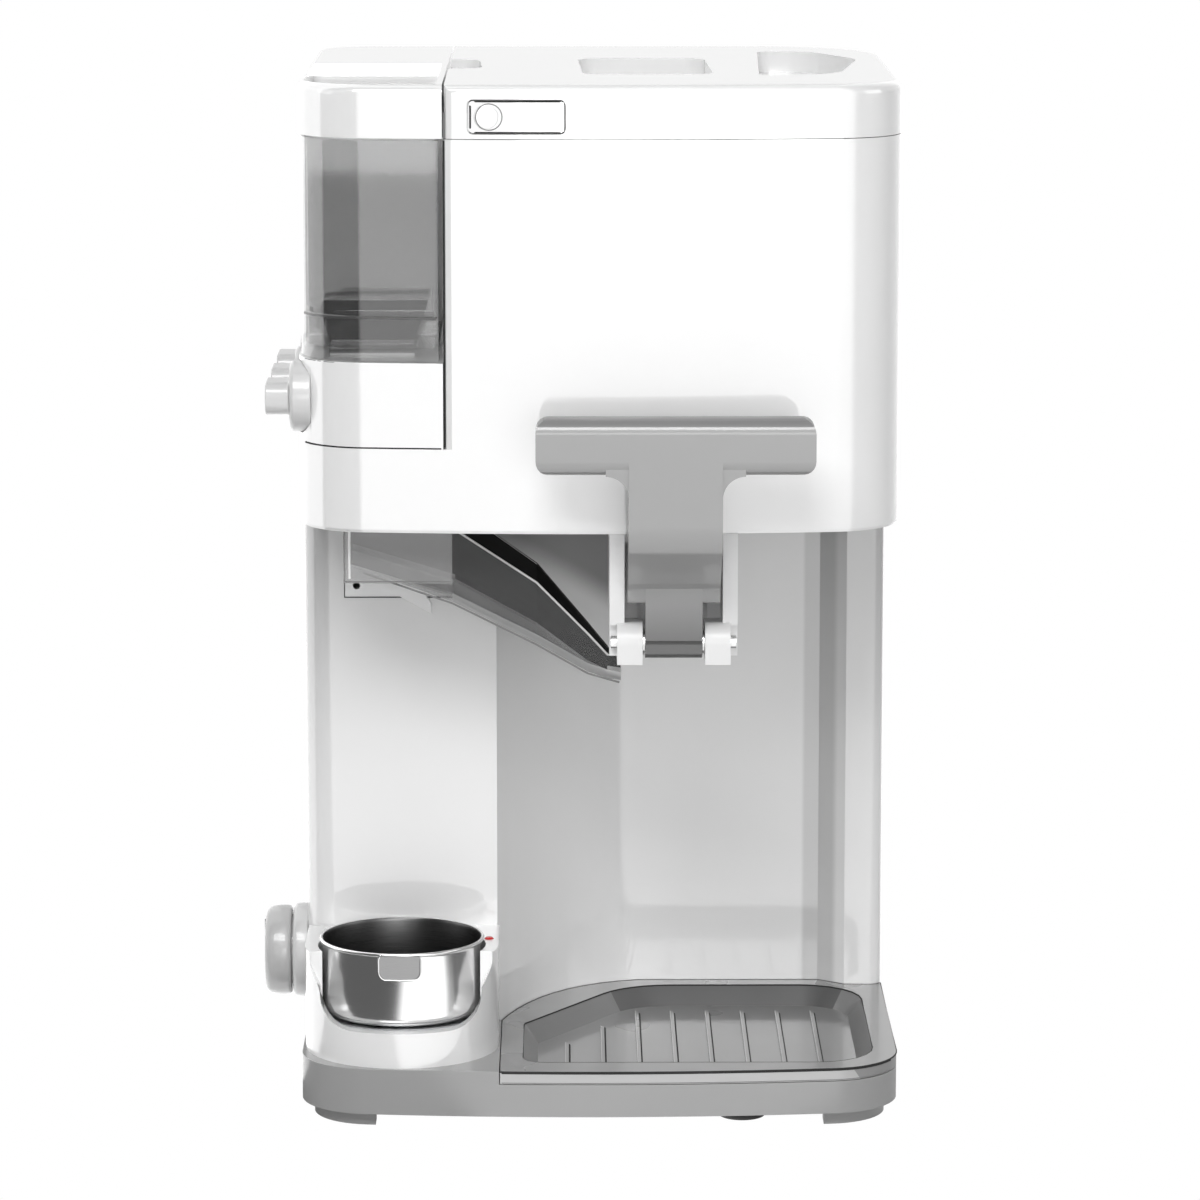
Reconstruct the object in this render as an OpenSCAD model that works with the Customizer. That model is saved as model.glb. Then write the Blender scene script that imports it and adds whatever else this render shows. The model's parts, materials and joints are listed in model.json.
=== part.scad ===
// Soft-serve ice cream maker with mix-in dispensers and a topping warmer.
// X runs to the right, Y to the back and Z up. The table is Z = 0.
// Inside the modules X = 0 is the middle of the body and Y = 0 its front face.
// Everything is then moved so that the origin is below the middle of the whole machine.

/* [Body] */
// Width of the base and the column
body_w = 245; // [235:1:260]
// Width of the upper housing and the lids
housing_w = 242; // [230:1:244]
// Depth of the body from front to back
body_d = 228; // [220:1:250]
// Radius of the upright front corners
corner_r = 30; // [15:1:34]
// Radius of the upright back corner on the left
rear_r = 24; // [18:1:24]
// Radius of the upright back corner on the right
rear_right_r = 55; // [40:1:60]
// Radius of the bowed front face seen from above
front_r = 850; // [500:10:2000]
// Wall of the housings
wall = 3; // [2.4:0.2:3.6]
// Gap between neighbouring outer pieces
seam = 0.4; // [0.3:0.05:0.6]

/* [Heights] */
// Height of the legs under the base
leg_h = 6; // [5:0.5:9]
// Height of the top of the base
base_top = 25; // [23:0.5:30]
// Height of the underside of the upper housing
housing_z = 246; // [240:1:260]
// Height of the seam below the lids
lid_z = 403.5; // [400:0.5:420]
// Height of the lids above the seam
lid_h = 21.5; // [20:0.5:28]

/* [Column] */
// Width of the tower on the left
tower_w = 80; // [70:1:84]
// Depth of the tower's face behind the front of the body
tower_y = 80; // [76:1:90]
// Depth of the column behind the back wall of the serving bay
column_depth = 71; // [68:1:78]
// Width of the stile on the right
stile_w = 18; // [12:1:24]
// How far the stile stands in front of the back wall
stile_step = 9; // [5:1:14]

/* [Mix-in dispenser] */
// Width of the bay for the containers
bay_w = 59; // [56:1:66]
// Height of the dispenser block above the underside of the upper housing
block_rise = 34; // [30:1:38]
// Height of the dispenser block
block_h = 34.5; // [33:0.5:40]
// Depth of the first dial behind the front of the body
dial_y = 30; // [28:1:34]
// Distance from one dial to the next
dial_pitch = 46; // [43:1:50]
// Wall of a container
container_wall = 1.8; // [1.4:0.1:2.4]
// Radius of the rotor that measures out the mix-ins
rotor_r = 12.5; // [10:0.5:13.5]
// Radius of a dial's disc
dial_r = 14.3; // [12:0.1:16]
// Diameter of a dial's shaft
dial_shaft_d = 6; // [5:0.5:8]

/* [Bowl and paddle] */
// Room between the freezer bowl and the housing's walls on each side
bowl_gap = 8.5; // [8:0.5:16]
// Outside height of the freezer bowl
bowl_h = 128; // [100:1:132]
// Thickness of each wall of the bowl
bowl_skin = 1.8; // [1.2:0.1:2.2]
// Thickness of the coolant between the walls
coolant_t = 7; // [5:0.5:9]
// Depth of the middle of the bowl behind the front of the body
bowl_y = 108; // [106:1:114]
// Diameter of the outlet in the bowl's floor
outlet_d = 20; // [14:1:22]
// Gap between the paddle and the bowl
paddle_gap = 1.5; // [1:0.1:3]

/* [Drive] */
// Teeth of the gear under the bowl
bowl_teeth = 24; // [24:6:24]
// Teeth of the idler gear
idler_teeth = 24; // [24:6:24]
// Teeth of the motor's pinion
pinion_teeth = 12; // [12:6:12]
// Thickness of the gears
gear_t = 5; // [3:0.5:5]
// Diameter of the shaft that drives the paddle
shaft_d = 10; // [8:0.5:12]
// Diameter of the motor
motor_d = 54; // [44:1:58]
// Length of the motor
motor_l = 62; // [50:1:80]
// Room between the motor and the back of the housing
motor_gap = 6; // [4:0.5:7]

/* [Spout and lever] */
// Depth of the lever's pin behind the front of the body
lever_y = 3; // [2:0.5:5]
// Height of the lever's pin
lever_z = 202; // [198:0.5:206]
// Diameter of the lever's pin
lever_pin_d = 5; // [4:0.5:6]
// Length of the bar of the lever
bar_w = 110; // [90:1:130]
// Height of the bar of the lever
bar_h = 22.6; // [18:0.2:28]
// Thickness of the bar of the lever
bar_t = 17; // [12:0.5:20]
// How far the lever stands in front of the body
lever_reach = 37; // [32:1:45]
// Height of the middle of the bar
bar_z = 286; // [276:1:300]
// Width of the lever's stem
stem_w = 37; // [30:0.5:37]
// Thickness of the lever's stem
stem_t = 8; // [6:0.5:10]
// Width of the hub at the lever's foot
hub_w = 22.8; // [18:0.2:23]
// Width over the cheeks of the spout
cheek_w = 51.4; // [51:0.2:58]
// Thickness of a cheek
cheek_t = 6; // [4:0.2:6.2]
// Diameter of the plunger
plunger_d = 22; // [18:0.5:24]
// Depth of the middle of the plunger behind the lever's pin
plunger_back = 23; // [22:0.5:26]
// How far the plunger rises
plunger_rise = 16.5; // [14:0.5:17]

/* [Mix-in chute] */
// Width of the box at the top of the chute
chute_box_w = 44; // [38:1:46]
// Height of the box at the top of the chute
chute_box_h = 23; // [18:1:26]
// Depth of the front of the chute behind the front of the body
chute_y = 22; // [18:1:30]
// Wall of the chute
chute_wall = 1.8; // [1.4:0.1:2.4]
// Height of the lowest point of the chute
chute_tip_z = 181.5; // [176:0.5:186]

/* [Topping warmer] */
// Radius of the warmer's round front
station_r = 40; // [37:0.5:41]
// Height of the warmer's top
station_top = 67.5; // [62:0.5:72]
// Height of the warmer's front lip
station_lip = 39.5; // [34:0.5:44]
// Diameter of the warming cup
cup_d = 68; // [60:0.5:69]
// Height of the warming cup
cup_h = 31.5; // [26:0.5:40]
// Wall of the warming cup
cup_wall = 0.8; // [0.6:0.1:1.2]
// Height of the hot plate's face
plate_z = 39.6; // [37:0.2:41]
// Radius of the warmer's knob
knob_r = 19; // [15:0.5:20]
// How far the warmer's knob stands out of the body
knob_reach = 18.5; // [14:0.5:22]
// Height of the warmer's knob
knob_z = 51.5; // [48:0.5:60]
// Depth of the warmer's knob behind the front of the body
knob_y = 104; // [102:1:116]

/* [Drip tray] */
// Height of the tray's rim
tray_rim = 5.5; // [4.5:0.5:7]
// Height of the inside of the tray's floor
tray_floor = 17; // [16:0.5:18]
// Wall of the tray
tray_wall = 2; // [1.6:0.1:2.6]
// Width of the tray's rim around the basin
tray_border = 9.5; // [7:0.5:14]
// How far the basin's walls lean in towards its floor
tray_slope = 6; // [0:0.5:8]
// Distance from one rib of the tray to the next
rib_pitch = 15; // [10:0.5:17]
// Width of a rib
rib_w = 1.8; // [1.2:0.1:2.6]

/* [Hidden] */
$fn = 64;
container_count = 3;         // one module, container_N, draws each of them
slack = 0.3;                 // gap between pieces that rest on each other
running = 0.05;              // radial gap of a shaft in its bore

half_w = body_w / 2;
half_h = housing_w / 2;
top_z = lid_z + lid_h;
back_y = body_d - column_depth;              // back wall of the serving bay
block_z = housing_z + block_rise;            // underside of the dispenser block
bowl_d = housing_w - bay_w - 2 * wall - 2 * bowl_gap;
shift_x = knob_reach / 2;
shift_y = -(body_d - lever_reach) / 2;

bay_x = -half_h + bay_w;                     // right side of the dispenser bay
bay_d = dial_y + dial_pitch * 2.5 + 2;       // back of the dispenser bay
spout_x = (bay_x + half_h) / 2;              // middle of the bowl, the spout and the lever
tower_x = -half_w + tower_w;                 // right side of the tower
station_x = -half_w + station_r + 1;
station_y = tower_y - cup_d / 2 - 0.5;
plunger_y = lever_y + plunger_back;
outlet_y = bowl_y - bowl_d / 2 + 28;

// ---- outlines ----------------------------------------------------------------------------------------

function arc(cx, cy, r, a0, a1, n) =
    [for (i = [0:n]) [cx + r * cos(a0 + (a1 - a0) * i / n), cy + r * sin(a0 + (a1 - a0) * i / n)]];

// Outline of the body seen from above: round corners and a bowed front, drawn in by i all round.
function plan(w, i) =
    let (h = w / 2 - i, r = corner_r - i, rb = front_r - i, xc = h - r,
         yc = front_r - sqrt(pow(rb - r, 2) - xc * xc), ph = asin(xc / (rb - r)),
         q = max(rear_r - i, 1), qr = rear_right_r - i)
    concat(
        arc(-xc, yc, r, 180, 270 - ph, 12),
        [for (k = [-5:5]) [rb * sin(ph * k / 6), front_r - rb * cos(ph * k / 6)]],
        arc(xc, yc, r, 270 + ph, 360, 12),
        arc(h - qr, body_d - i - qr, qr, 0, 90, 12),
        arc(-h + q, body_d - i - q, q, 90, 180, 6));

// Depth of the bowed front face at x.
function bow(x) = front_r - sqrt(front_r * front_r - x * x);

// Outline through corners [x, y, radius], each rounded by its own radius.
function unit(v) = v / norm(v);
function rounded(p, n = 6) =
    [for (i = [0:len(p) - 1])
        let (m = len(p), b = [p[i][0], p[i][1]], r = p[i][2],
             a = [p[(i + m - 1) % m][0], p[(i + m - 1) % m][1]], c = [p[(i + 1) % m][0], p[(i + 1) % m][1]],
             u = unit(a - b), v = unit(c - b), g = acos(u * v) / 2,
             o = b + unit(u + v) * r / sin(g), s = b + u * r / tan(g) - o, e = b + v * r / tan(g) - o,
             a0 = atan2(s[1], s[0]), da = (atan2(e[1], e[0]) - a0 + 540) % 360 - 180)
        each (r <= 0 ? [b] : [for (k = [0:n]) o + r * [cos(a0 + da * k / n), sin(a0 + da * k / n)]])];

function bezier(a, b, c, n) =
    [for (k = [0:n]) let (t = k / n) a * (1 - t) * (1 - t) + b * 2 * t * (1 - t) + c * t * t];

// Outline of the column: the tower, the sweep to the back wall and the stile, drawn in by i.
function column(i) =
    let (h = half_w - i, q = max(rear_r - i, 1), qr = rear_right_r - i, sy = back_y - stile_step + i)
    concat(
        arc(-h + 12, tower_y + i + 12, 12, 180, 270, 6),
        bezier([tower_x - i, tower_y + i], [tower_x + 16 - i, back_y - 9 + i],
            [tower_x + 60 - i, back_y + i], 10),
        [[h - stile_w - stile_step + i, back_y + i], [h - stile_w + 2 + i, sy + 0.5]],
        arc(h - 5, sy + 5, 5, 270, 360, 4),
        arc(h - qr, body_d - i - qr, qr, 0, 90, 12),
        arc(-h + q, body_d - i - q, q, 90, 180, 6));

module slab(points, z0, z1) {
    translate([0, 0, z0]) linear_extrude(z1 - z0) polygon(points);
}

module box(x0, x1, y0, y1, z0, z1) {
    translate([x0, y0, z0]) cube([x1 - x0, y1 - y0, z1 - z0]);
}

// Round bar along X, Y or Z, starting at point p.
module bar_x(p, d, l) { translate(p) rotate([0, 90, 0]) cylinder(d = d, h = l); }
module bar_y(p, d, l) { translate(p) rotate([-90, 0, 0]) cylinder(d = d, h = l); }
module bar_z(p, d, l) { translate(p) cylinder(d = d, h = l); }

// Body slab whose upper edge is rounded by r: layers drawn in along a quarter circle.
module crowned(w, z0, z1, r, x0, x1) {
    intersection() {
        hull() {
            slab(plan(w, 0), z0, z1 - r);
            for (a = [15:15:90]) slab(plan(w, r * (1 - cos(a))), z0, z1 - r + r * sin(a));
        }
        box(x0, x1, -1, body_d + 1, z0 - 1, z1 + 1);
    }
}

// Countersunk screw pointing up, its head flush with z = 0, and the seat for its head, grown by g.
module screw(d, l, g = 0) {
    cylinder(d1 = d * 1.9 + g * 2, d2 = d + g * 2, h = d * 0.4);
    cylinder(d = d - running + g * 2, h = l);
}

module seated() { translate([shift_x, shift_y, 0]) children(); }

// ---- base --------------------------------------------------------------------------------------------

tray_x = tower_x + 1.5;                       // left edge of the drip tray
pocket_z = base_top - tray_rim;               // shelf that carries the tray's rim
plate_t = 2;
screw_d = 3;
base_bosses = [[-half_w + 52, 36], [half_w - 20, 60], [-half_w + 24, body_d - 60],
    [half_w - 20, body_d - 70], [0, body_d - 20]];
boss_d = 9;
boss_hole = 7.5;
feet_at = [[spout_x + 29, 26], [-half_w + 24, 64], [-half_w + 40, body_d - 22], [half_w - 52, body_d - 22]];
foot_d = 21;

// The tray's basin at its rim, drawn in by i.
basin_front = tray_border + 6;
function basin(i) = rounded([
    [tray_x + tray_border + i, basin_front + i, max(9 - i, 1)],
    [half_w - tray_border - i, basin_front + i, max(24 - i, 1)],
    [half_w - tray_border - i, back_y - tray_border - i, max(26 - i, 1)],
    [tray_x + 53 + i * 0.5, back_y - tray_border - i, max(34 - i, 1)],
    [tray_x + tray_border + i, tower_y - i * 0.4, max(8 - i, 1)]]);

// Where the tray lies on the base: right of the warmer and in front of the column.
module tray_area(z0, z1, gap) {
    difference() {
        box(tray_x + gap, half_w + 1, -1, back_y + 2, z0, z1);
        slab(column(-gap), z0 - 1, z1 + 1);
    }
}

leg_w = 31;
leg_inset = 5;
// The four corners that carry the legs, grown by g.
module leg_corners(z0, z1, g) {
    for (x = [[-half_w, -half_w + leg_w], [half_w - leg_w, half_w]],
        y = [[0, 38], [body_d - 62, body_d - 30]])
        box(x[0] - g, x[1] + g, y[0] - g, y[1] + g, z0, z1);
}

module base_housing() color([0.64, 0.64, 0.65]) {
    deck_low = tray_floor - tray_wall - slack;
    difference() {
        union() {
            slab(plan(body_w, 0), leg_h, base_top);
            intersection() {
                difference() {
                    slab(plan(body_w, leg_inset), slack, leg_h + 1);
                    slab(plan(body_w, leg_inset + 10), -1, leg_h + 2);
                }
                leg_corners(0, leg_h + 2, 0);
            }
        }
        // hollow from below: a low layer all over and a high one left of and behind the tray
        difference() {
            union() {
                slab(plan(body_w, wall), leg_h - 1, deck_low - 1.6);
                difference() {
                    slab(plan(body_w, wall), leg_h + 2, base_top - wall);
                    tray_area(leg_h, base_top, -wall);
                }
            }
            leg_corners(0, base_top, 0);
            for (b = base_bosses) bar_z([b[0], b[1], 0], boss_d, base_top);
        }
        // shelf and well of the tray
        tray_area(pocket_z, base_top + 1, 0);
        slab(basin(-tray_wall - 1), deck_low, base_top);
        for (b = base_bosses) bar_z([b[0], b[1], leg_h - 1], screw_d, boss_hole);
        // flat undersides of the bosses, above the bottom plate
        for (b = base_bosses) bar_z([b[0], b[1], leg_h - 1], boss_d + 0.5, plate_t + 1);
        // opening into the tower for the wires and the heater
        box(-half_w + 14, tower_x - 14, tower_y + 14, body_d - 70, leg_h, base_top + 1);
        bar_z([station_x, station_y, base_top - wall - 1], 12, wall + 2);
    }
}

module base_plate() color([0.2, 0.2, 0.21]) {
    difference() {
        slab(plan(body_w, wall + slack), leg_h, leg_h + plate_t);
        leg_corners(0, 20, slack);
        for (b = base_bosses) {
            bar_z([b[0], b[1], 0], screw_d + 0.6, 20);
            bar_z([b[0], b[1], 0], screw_d * 1.9 + 0.4, leg_h + 1);
        }
        for (f = feet_at) bar_z([f[0], f[1], 0], 6, 20);
        for (k = [0:7]) box(-30 + k * 8, -27 + k * 8, 150, 190, 0, 20);
    }
}

module rubber_feet() color([0.12, 0.12, 0.12]) {
    for (f = feet_at) translate([f[0], f[1], 0]) {
        cylinder(d1 = foot_d - 2.5, d2 = foot_d, h = 1.5);
        translate([0, 0, 1.5]) cylinder(d = foot_d, h = leg_h - 1.5);
        cylinder(d = 5.9, h = leg_h + plate_t);
        translate([0, 0, leg_h + plate_t]) cylinder(d1 = 8, d2 = 6, h = 1);
    }
}

module base_screws() color("silver") {
    for (b = base_bosses) translate([b[0], b[1], leg_h + 0.1]) {
        cylinder(d = screw_d * 1.9, h = 0.9);
        cylinder(d = screw_d - 0.05, h = boss_hole - 1.5);
    }
}

// ---- column ------------------------------------------------------------------------------------------

cover_side = 9.5;                              // flat wall left beside the cover
cover_w = housing_w - rear_r - rear_right_r - 2 * cover_side;
cover_x = -half_h + rear_r + cover_side - 1.5 + cover_w / 2;
vent_half = cover_w / 2 - 20;
cover_z0 = base_top + 30;
cover_z1 = lid_z - 16;
cover_t = wall / 2;
cover_screws = [for (z = [cover_z0 + 6, housing_z - motor_l - 18, housing_z + 24, cover_z1 - 6], x = [-1, 1])
    [cover_x + x * (cover_w / 2 - 6), z]];

// Recess, window and screw bosses shared by the two shells behind the rear cover.
module cover_seat() {
    h = cover_w / 2;
    box(cover_x - h - slack, cover_x + h + slack, body_d - cover_t, body_d + 1,
        cover_z0 - slack, cover_z1 + slack);
    box(cover_x - h + 12, cover_x + h - 12, body_d - wall - 1, body_d, cover_z0 + 12, cover_z1 - 12);
    for (s = cover_screws) bar_y([s[0], body_d - 14, s[1]], screw_d, 15);
}

module cover_bosses(z0, z1) {
    for (s = cover_screws) if (s[1] > z0 && s[1] < z1)
        bar_y([s[0], body_d - 14, s[1]], 8, 14 - cover_t - 0.2);
}

pad_w = 49;                                    // plate on the tower that carries the chute's bracket
pad_x = -half_h + 15.5;

column_joint = back_y + wall + 1;              // where the column's two halves meet
flange_w = 8;

module column_whole() {
    difference() {
        union() {
            difference() {
                slab(column(0), base_top, housing_z);
                slab(column(wall), base_top - 1, housing_z + 1);
            }
            cover_bosses(base_top, housing_z);
            // flange that stands on the base
            difference() {
                slab(column(0.5), base_top, base_top + 2);
                slab(column(wall + flange_w), base_top - 1, base_top + 3);
            }
        }
        cover_seat();
        // hole for the knob's shaft
        bar_x([-half_w - 1, knob_y, knob_z], 9, 12);
        // screw holes of the chute's bracket
        for (x = [pad_x + 5, pad_x + pad_w - 5]) bar_y([x, tower_y - 1, housing_z - 34], screw_d, 8);
        // hole and seat for the cord's gland
        bar_y([gland_x, body_d - 15, gland_z], gland_d + 0.1, 20);
        bar_y([gland_x, body_d - gland_seat, gland_z], gland_d + 6.4, 5);
    }
}

module behind_joint() difference() {
    box(-half_w - 1, half_w + 1, column_joint, body_d + 1, 0, housing_z + 1);
    // the flange behind the serving bay stays with the front half
    box(-half_w + wall + flange_w, half_w - wall - flange_w, 0, back_y + wall + flange_w + 0.5,
        0, base_top + 3);
}

module column_shell() color([0.93, 0.93, 0.94]) difference() {
    column_whole();
    behind_joint();
}

// Place of the plate in the back wall that carries the cord's gland.
module plate_place() box(gland_x - plate_half, gland_x + plate_half, body_d - wall - 1, body_d + 1,
    gland_z - plate_half, gland_z + plate_half);

module column_back() color([0.93, 0.93, 0.94]) difference() {
    intersection() {
        column_whole();
        behind_joint();
    }
    plate_place();
}

module cord_plate() color([0.93, 0.93, 0.94]) intersection() {
    column_whole();
    plate_place();
}

gland_d = 12;
gland_x = spout_x + 10;
gland_z = base_top + 15;
gland_seat = 1.2;
plate_half = 11;
module cord_gland() color([0.16, 0.16, 0.16]) {
    translate([gland_x, body_d, gland_z]) rotate([90, 0, 0]) difference() {
        union() {
            cylinder(d = gland_d + 6, h = gland_seat);
            cylinder(d = gland_d, h = wall);
            translate([0, 0, wall]) cylinder(d = gland_d + 3, h = 3);
        }
        translate([0, 0, -2]) cylinder(d = 7, h = 20);
    }
}

module rear_cover() color([0.9, 0.9, 0.9]) {
    difference() {
        box(cover_x - cover_w / 2, cover_x + cover_w / 2, body_d - cover_t, body_d, cover_z0, cover_z1);
        for (s = cover_screws) translate([s[0], body_d, s[1]]) rotate([90, 0, 0]) screw(screw_d, 5, 0.2);
        for (x = [cover_x - vent_half, cover_x + 8]) {
            for (k = [0:9]) box(x, x + vent_half - 8, body_d - 5, body_d + 1,
                cover_z0 + 30 + k * 8, cover_z0 + 33 + k * 8);
            for (k = [0:5]) box(x, x + vent_half - 8, body_d - 5, body_d + 1,
                housing_z + 60 + k * 8, housing_z + 63 + k * 8);
        }
    }
}

module rear_screws() color("silver") {
    for (s = cover_screws) translate([s[0], body_d, s[1]]) rotate([90, 0, 0]) screw(screw_d, 11);
}

// ---- upper housing -----------------------------------------------------------------------------------

bay_floor = block_z - wall;
well_r = bowl_d / 2 + 2.5;
bowl_z = housing_z + 16;                       // underside of the bowl
gear_z = housing_z + wall + 1;
spout_hole_w = 32;

hinge_y = body_d - 8;
hinge_z = lid_z + 8.2;
hinge_pin_d = 4;
ear_t = 8;
ear_r = 5;
main_ears = [bay_x + 16, half_h - rear_right_r - 6];         // middle of the ears of each lid's hinge
side_ears = [-half_h + 21, bay_x - 12];

module hinge_ear(x, z0, z1) {
    bar_x([x - ear_t / 2, hinge_y, hinge_z], ear_r * 2, ear_t);
    box(x - ear_t / 2, x + ear_t / 2, hinge_y - ear_r, hinge_y + ear_r, z0, z1);
    box(x - ear_t / 2, x + ear_t / 2, hinge_y, body_d - wall / 2, z0, lid_z);
}

drop_w = 34;                                   // width of the drops below the rotors
drop_d = 10;

module upper_housing() color([0.96, 0.96, 0.96]) {
    difference() {
        union() {
            difference() {
                union() {
                    slab(plan(housing_w, 1.2), housing_z, housing_z + 1.2);
                    slab(plan(housing_w, 0), housing_z + 1.2, lid_z);
                }
                difference() {
                    slab(plan(housing_w, wall), housing_z + wall, lid_z + 1);
                    // walls and floor of the dispenser bay
                    box(-half_h, bay_x + wall, 0, bay_d + wall, bay_floor, lid_z);
                }
                box(-half_h - 1, bay_x, -1, bay_d, block_z, lid_z + 1);
            }
            cover_bosses(housing_z, lid_z);
            for (x = concat(main_ears, side_ears))
                intersection() {
                    hinge_ear(x, lid_z - 12, hinge_z);
                    slab(plan(housing_w, 0.5), housing_z, lid_z + 20);
                }
        }
        cover_seat();
        bar_x([-half_h - 1, hinge_y, hinge_z], hinge_pin_d + running * 2, housing_w + 2);
        front_edge_cut(bay_x, block_z, lid_z + 1);
        // drops below the rotors
        for (k = [0:container_count - 1])
            box(bay_mid - drop_w / 2, bay_mid + drop_w / 2, rotor_y(k) - drop_d / 2, rotor_y(k) + drop_d / 2,
                bay_floor - 1, block_z + 1);
        // mouth of the funnel, hole of the spout and shaft of the motor in the floor
        box(funnel_x0 - 1.5, funnel_x1 + 1.5, funnel_y0 - 1.5, funnel_y1 + 8,
            housing_z - 1, housing_z + wall + 1);
        bar_z([spout_x, plunger_y, housing_z - 1], spout_hole_w, wall + 2);
        bar_z([spout_x, outlet_y, housing_z - 1], 26, wall + 2);
        bar_z([spout_x, motor_y, housing_z - 1], 20, wall + 2);
        bar_z([spout_x, bowl_y, housing_z - 1], shaft_d + 4, wall + 2);
        bar_z([spout_x, idler_y, housing_z - 1], 5, wall + 2);
        for (x = [-1, 1]) bar_z([spout_x + x * 22, motor_y, housing_z - 1], screw_d, wall + 2);
    }
}

bay_mid = -half_h + bay_w / 2;
function rotor_y(k) = dial_y + k * dial_pitch;

module bowl_well() color([0.8, 0.8, 0.81]) {
    difference() {
        translate([spout_x, bowl_y, 0]) difference() {
            union() {
                translate([0, 0, bowl_z - slack - 3])
                    cylinder(r = well_r + 2, h = lid_z - bowl_z + slack + 2, $fn = 96);
                translate([0, 0, lid_z - 3]) cylinder(r = well_r + 3.5, h = 2, $fn = 96);
                for (a = [60, 120, 240, 300]) rotate(a) translate([well_r - 6, 0, housing_z + wall])
                    cylinder(d = 8, h = bowl_z - slack - housing_z - wall - 1);
            }
            translate([0, 0, bowl_z - slack]) cylinder(r = well_r, h = 200, $fn = 96);
            translate([0, 0, bowl_z - 10]) cylinder(d = shaft_d + running * 2, h = 20);
        }
        translate([spout_x, outlet_y, bowl_z - 10]) cylinder(d = outlet_d + 12, h = 20);
    }
}

// ---- lids --------------------------------------------------------------------------------------------

lid_bottom = lid_z + slack;
lid_edge_r = 4;
latch_w = 39;
latch_h = 13.8;
latch_x = bay_x + 9.5;                         // left end of the latch button
latch_z = lid_z + 9;
latch_gap = 0.6;
nub_d = 10.3;
nub_x = latch_x + 7.8;
grip_z = top_z - 9;                            // floor of the finger recesses

// Cut for a housing ear and a clean sweep as the lid swings up.
module ear_slot(x) {
    box(x - ear_t / 2 - 0.5, x + ear_t / 2 + 0.5, hinge_y - ear_r - 9, body_d + 1,
        lid_bottom - 1, hinge_z + 7);
}

// Rounds the lid's rear lower edge about its hinge.
module rear_round(x0, x1) {
    difference() {
        box(x0, x1, hinge_y, body_d + 1, lid_bottom - 1, hinge_z);
        bar_x([x0 - 1, hinge_y, hinge_z], 15.6, x1 - x0 + 2);
    }
}

module lid_ear(x) {
    intersection() {
        union() {
            bar_x([x - 3, hinge_y, hinge_z], ear_r * 2, 6);
            box(x - 3, x + 3, hinge_y - ear_r, hinge_y + ear_r, hinge_z, top_z - 2);
        }
        slab(plan(housing_w, 0.6), lid_bottom, top_z - 1);
    }
}

// Finger recesses in the main lid, on both sides of its grip bar.
grip_y = body_d - 78;
grip_w = half_h - spout_x - 59;
grips = [
    [[spout_x - 36, 60, 8], [spout_x + 17, 60, 8], [spout_x + 15, grip_y, 8], [spout_x - 38, grip_y, 8]],
    [[spout_x + 35, 54, 6], [half_h - 24, 60, grip_w * 0.74], [half_h - 12, grip_y - 4, grip_w * 1.23],
        [spout_x + 39 + grip_w * 0.69, grip_y + 40, grip_w / 2], [spout_x + 39, grip_y + 42, 6]]];
function middle(g) = [for (c = g) 1] * g / len(g);
function grown(g, d) =
    [for (c = g) [c[0] + (c[0] < middle(g)[0] ? -d : d), c[1] + (c[1] < middle(g)[1] ? -d : d), c[2] + d]];

module latch_outline(i) {
    polygon(rounded([[latch_x + i, latch_z - latch_h / 2 + i, 2.4 - i],
        [latch_x + latch_w - i, latch_z - latch_h / 2 + i, 2.4 - i],
        [latch_x + latch_w - i, latch_z + latch_h / 2 - i, 2.4 - i],
        [latch_x + i, latch_z + latch_h / 2 - i, 2.4 - i]]));
}

module main_lid() color([0.97, 0.97, 0.97]) {
    x0 = bay_x + seam;
    difference() {
        union() {
            difference() {
                crowned(housing_w, lid_bottom, top_z, lid_edge_r, x0, half_h + 1);
                difference() {
                    slab(plan(housing_w, 2.5), lid_bottom - 1, top_z - 2.5);
                    box(-half_h - 1, x0 + 2.5, -1, body_d + 1, 0, top_z + 1);
                    for (g = grips) slab(rounded(grown(g, 2.5)), grip_z - 2.5, top_z);
                    box(x0, x0 + 18, 86, 150, top_z - 6.5, top_z);
                }
            }
            for (x = main_ears, s = [-1, 1]) lid_ear(x + s * (ear_t / 2 + 3.5));
        }
        for (g = grips) slab(rounded(g), grip_z, top_z + 1);
        // shallow scoop at the left edge
        slab(rounded([[x0 - 3, 90, 0], [x0 + 14, 94, 10], [x0 + 12, 143, 12], [x0 - 3, 146, 0]]),
            top_z - 3.5, top_z + 1);
        for (x = main_ears) ear_slot(x);
        rear_round(x0 - 1, half_h + 1);
        bar_x([x0 - 1, hinge_y, hinge_z], hinge_pin_d + running * 2, half_h - x0 + 2);
        // opening of the latch button
        translate([0, 8, 0]) rotate([90, 0, 0]) linear_extrude(12) latch_outline(0);
        front_edge_cut(x0, lid_bottom - 1, top_z + 1);
    }
}

// Bevel down the front edge beside the dispenser.
edge_cut = 3;
module front_edge_cut(x, z0, z1) {
    slab([[x - 1, -1], [x + edge_cut, -1], [x + edge_cut, bow(x)],
        [x + edge_cut * 0.3, bow(x) + edge_cut * 0.35],
        [x, bow(x) + edge_cut], [x - 1, bow(x) + edge_cut]], z0, z1);
}

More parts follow.
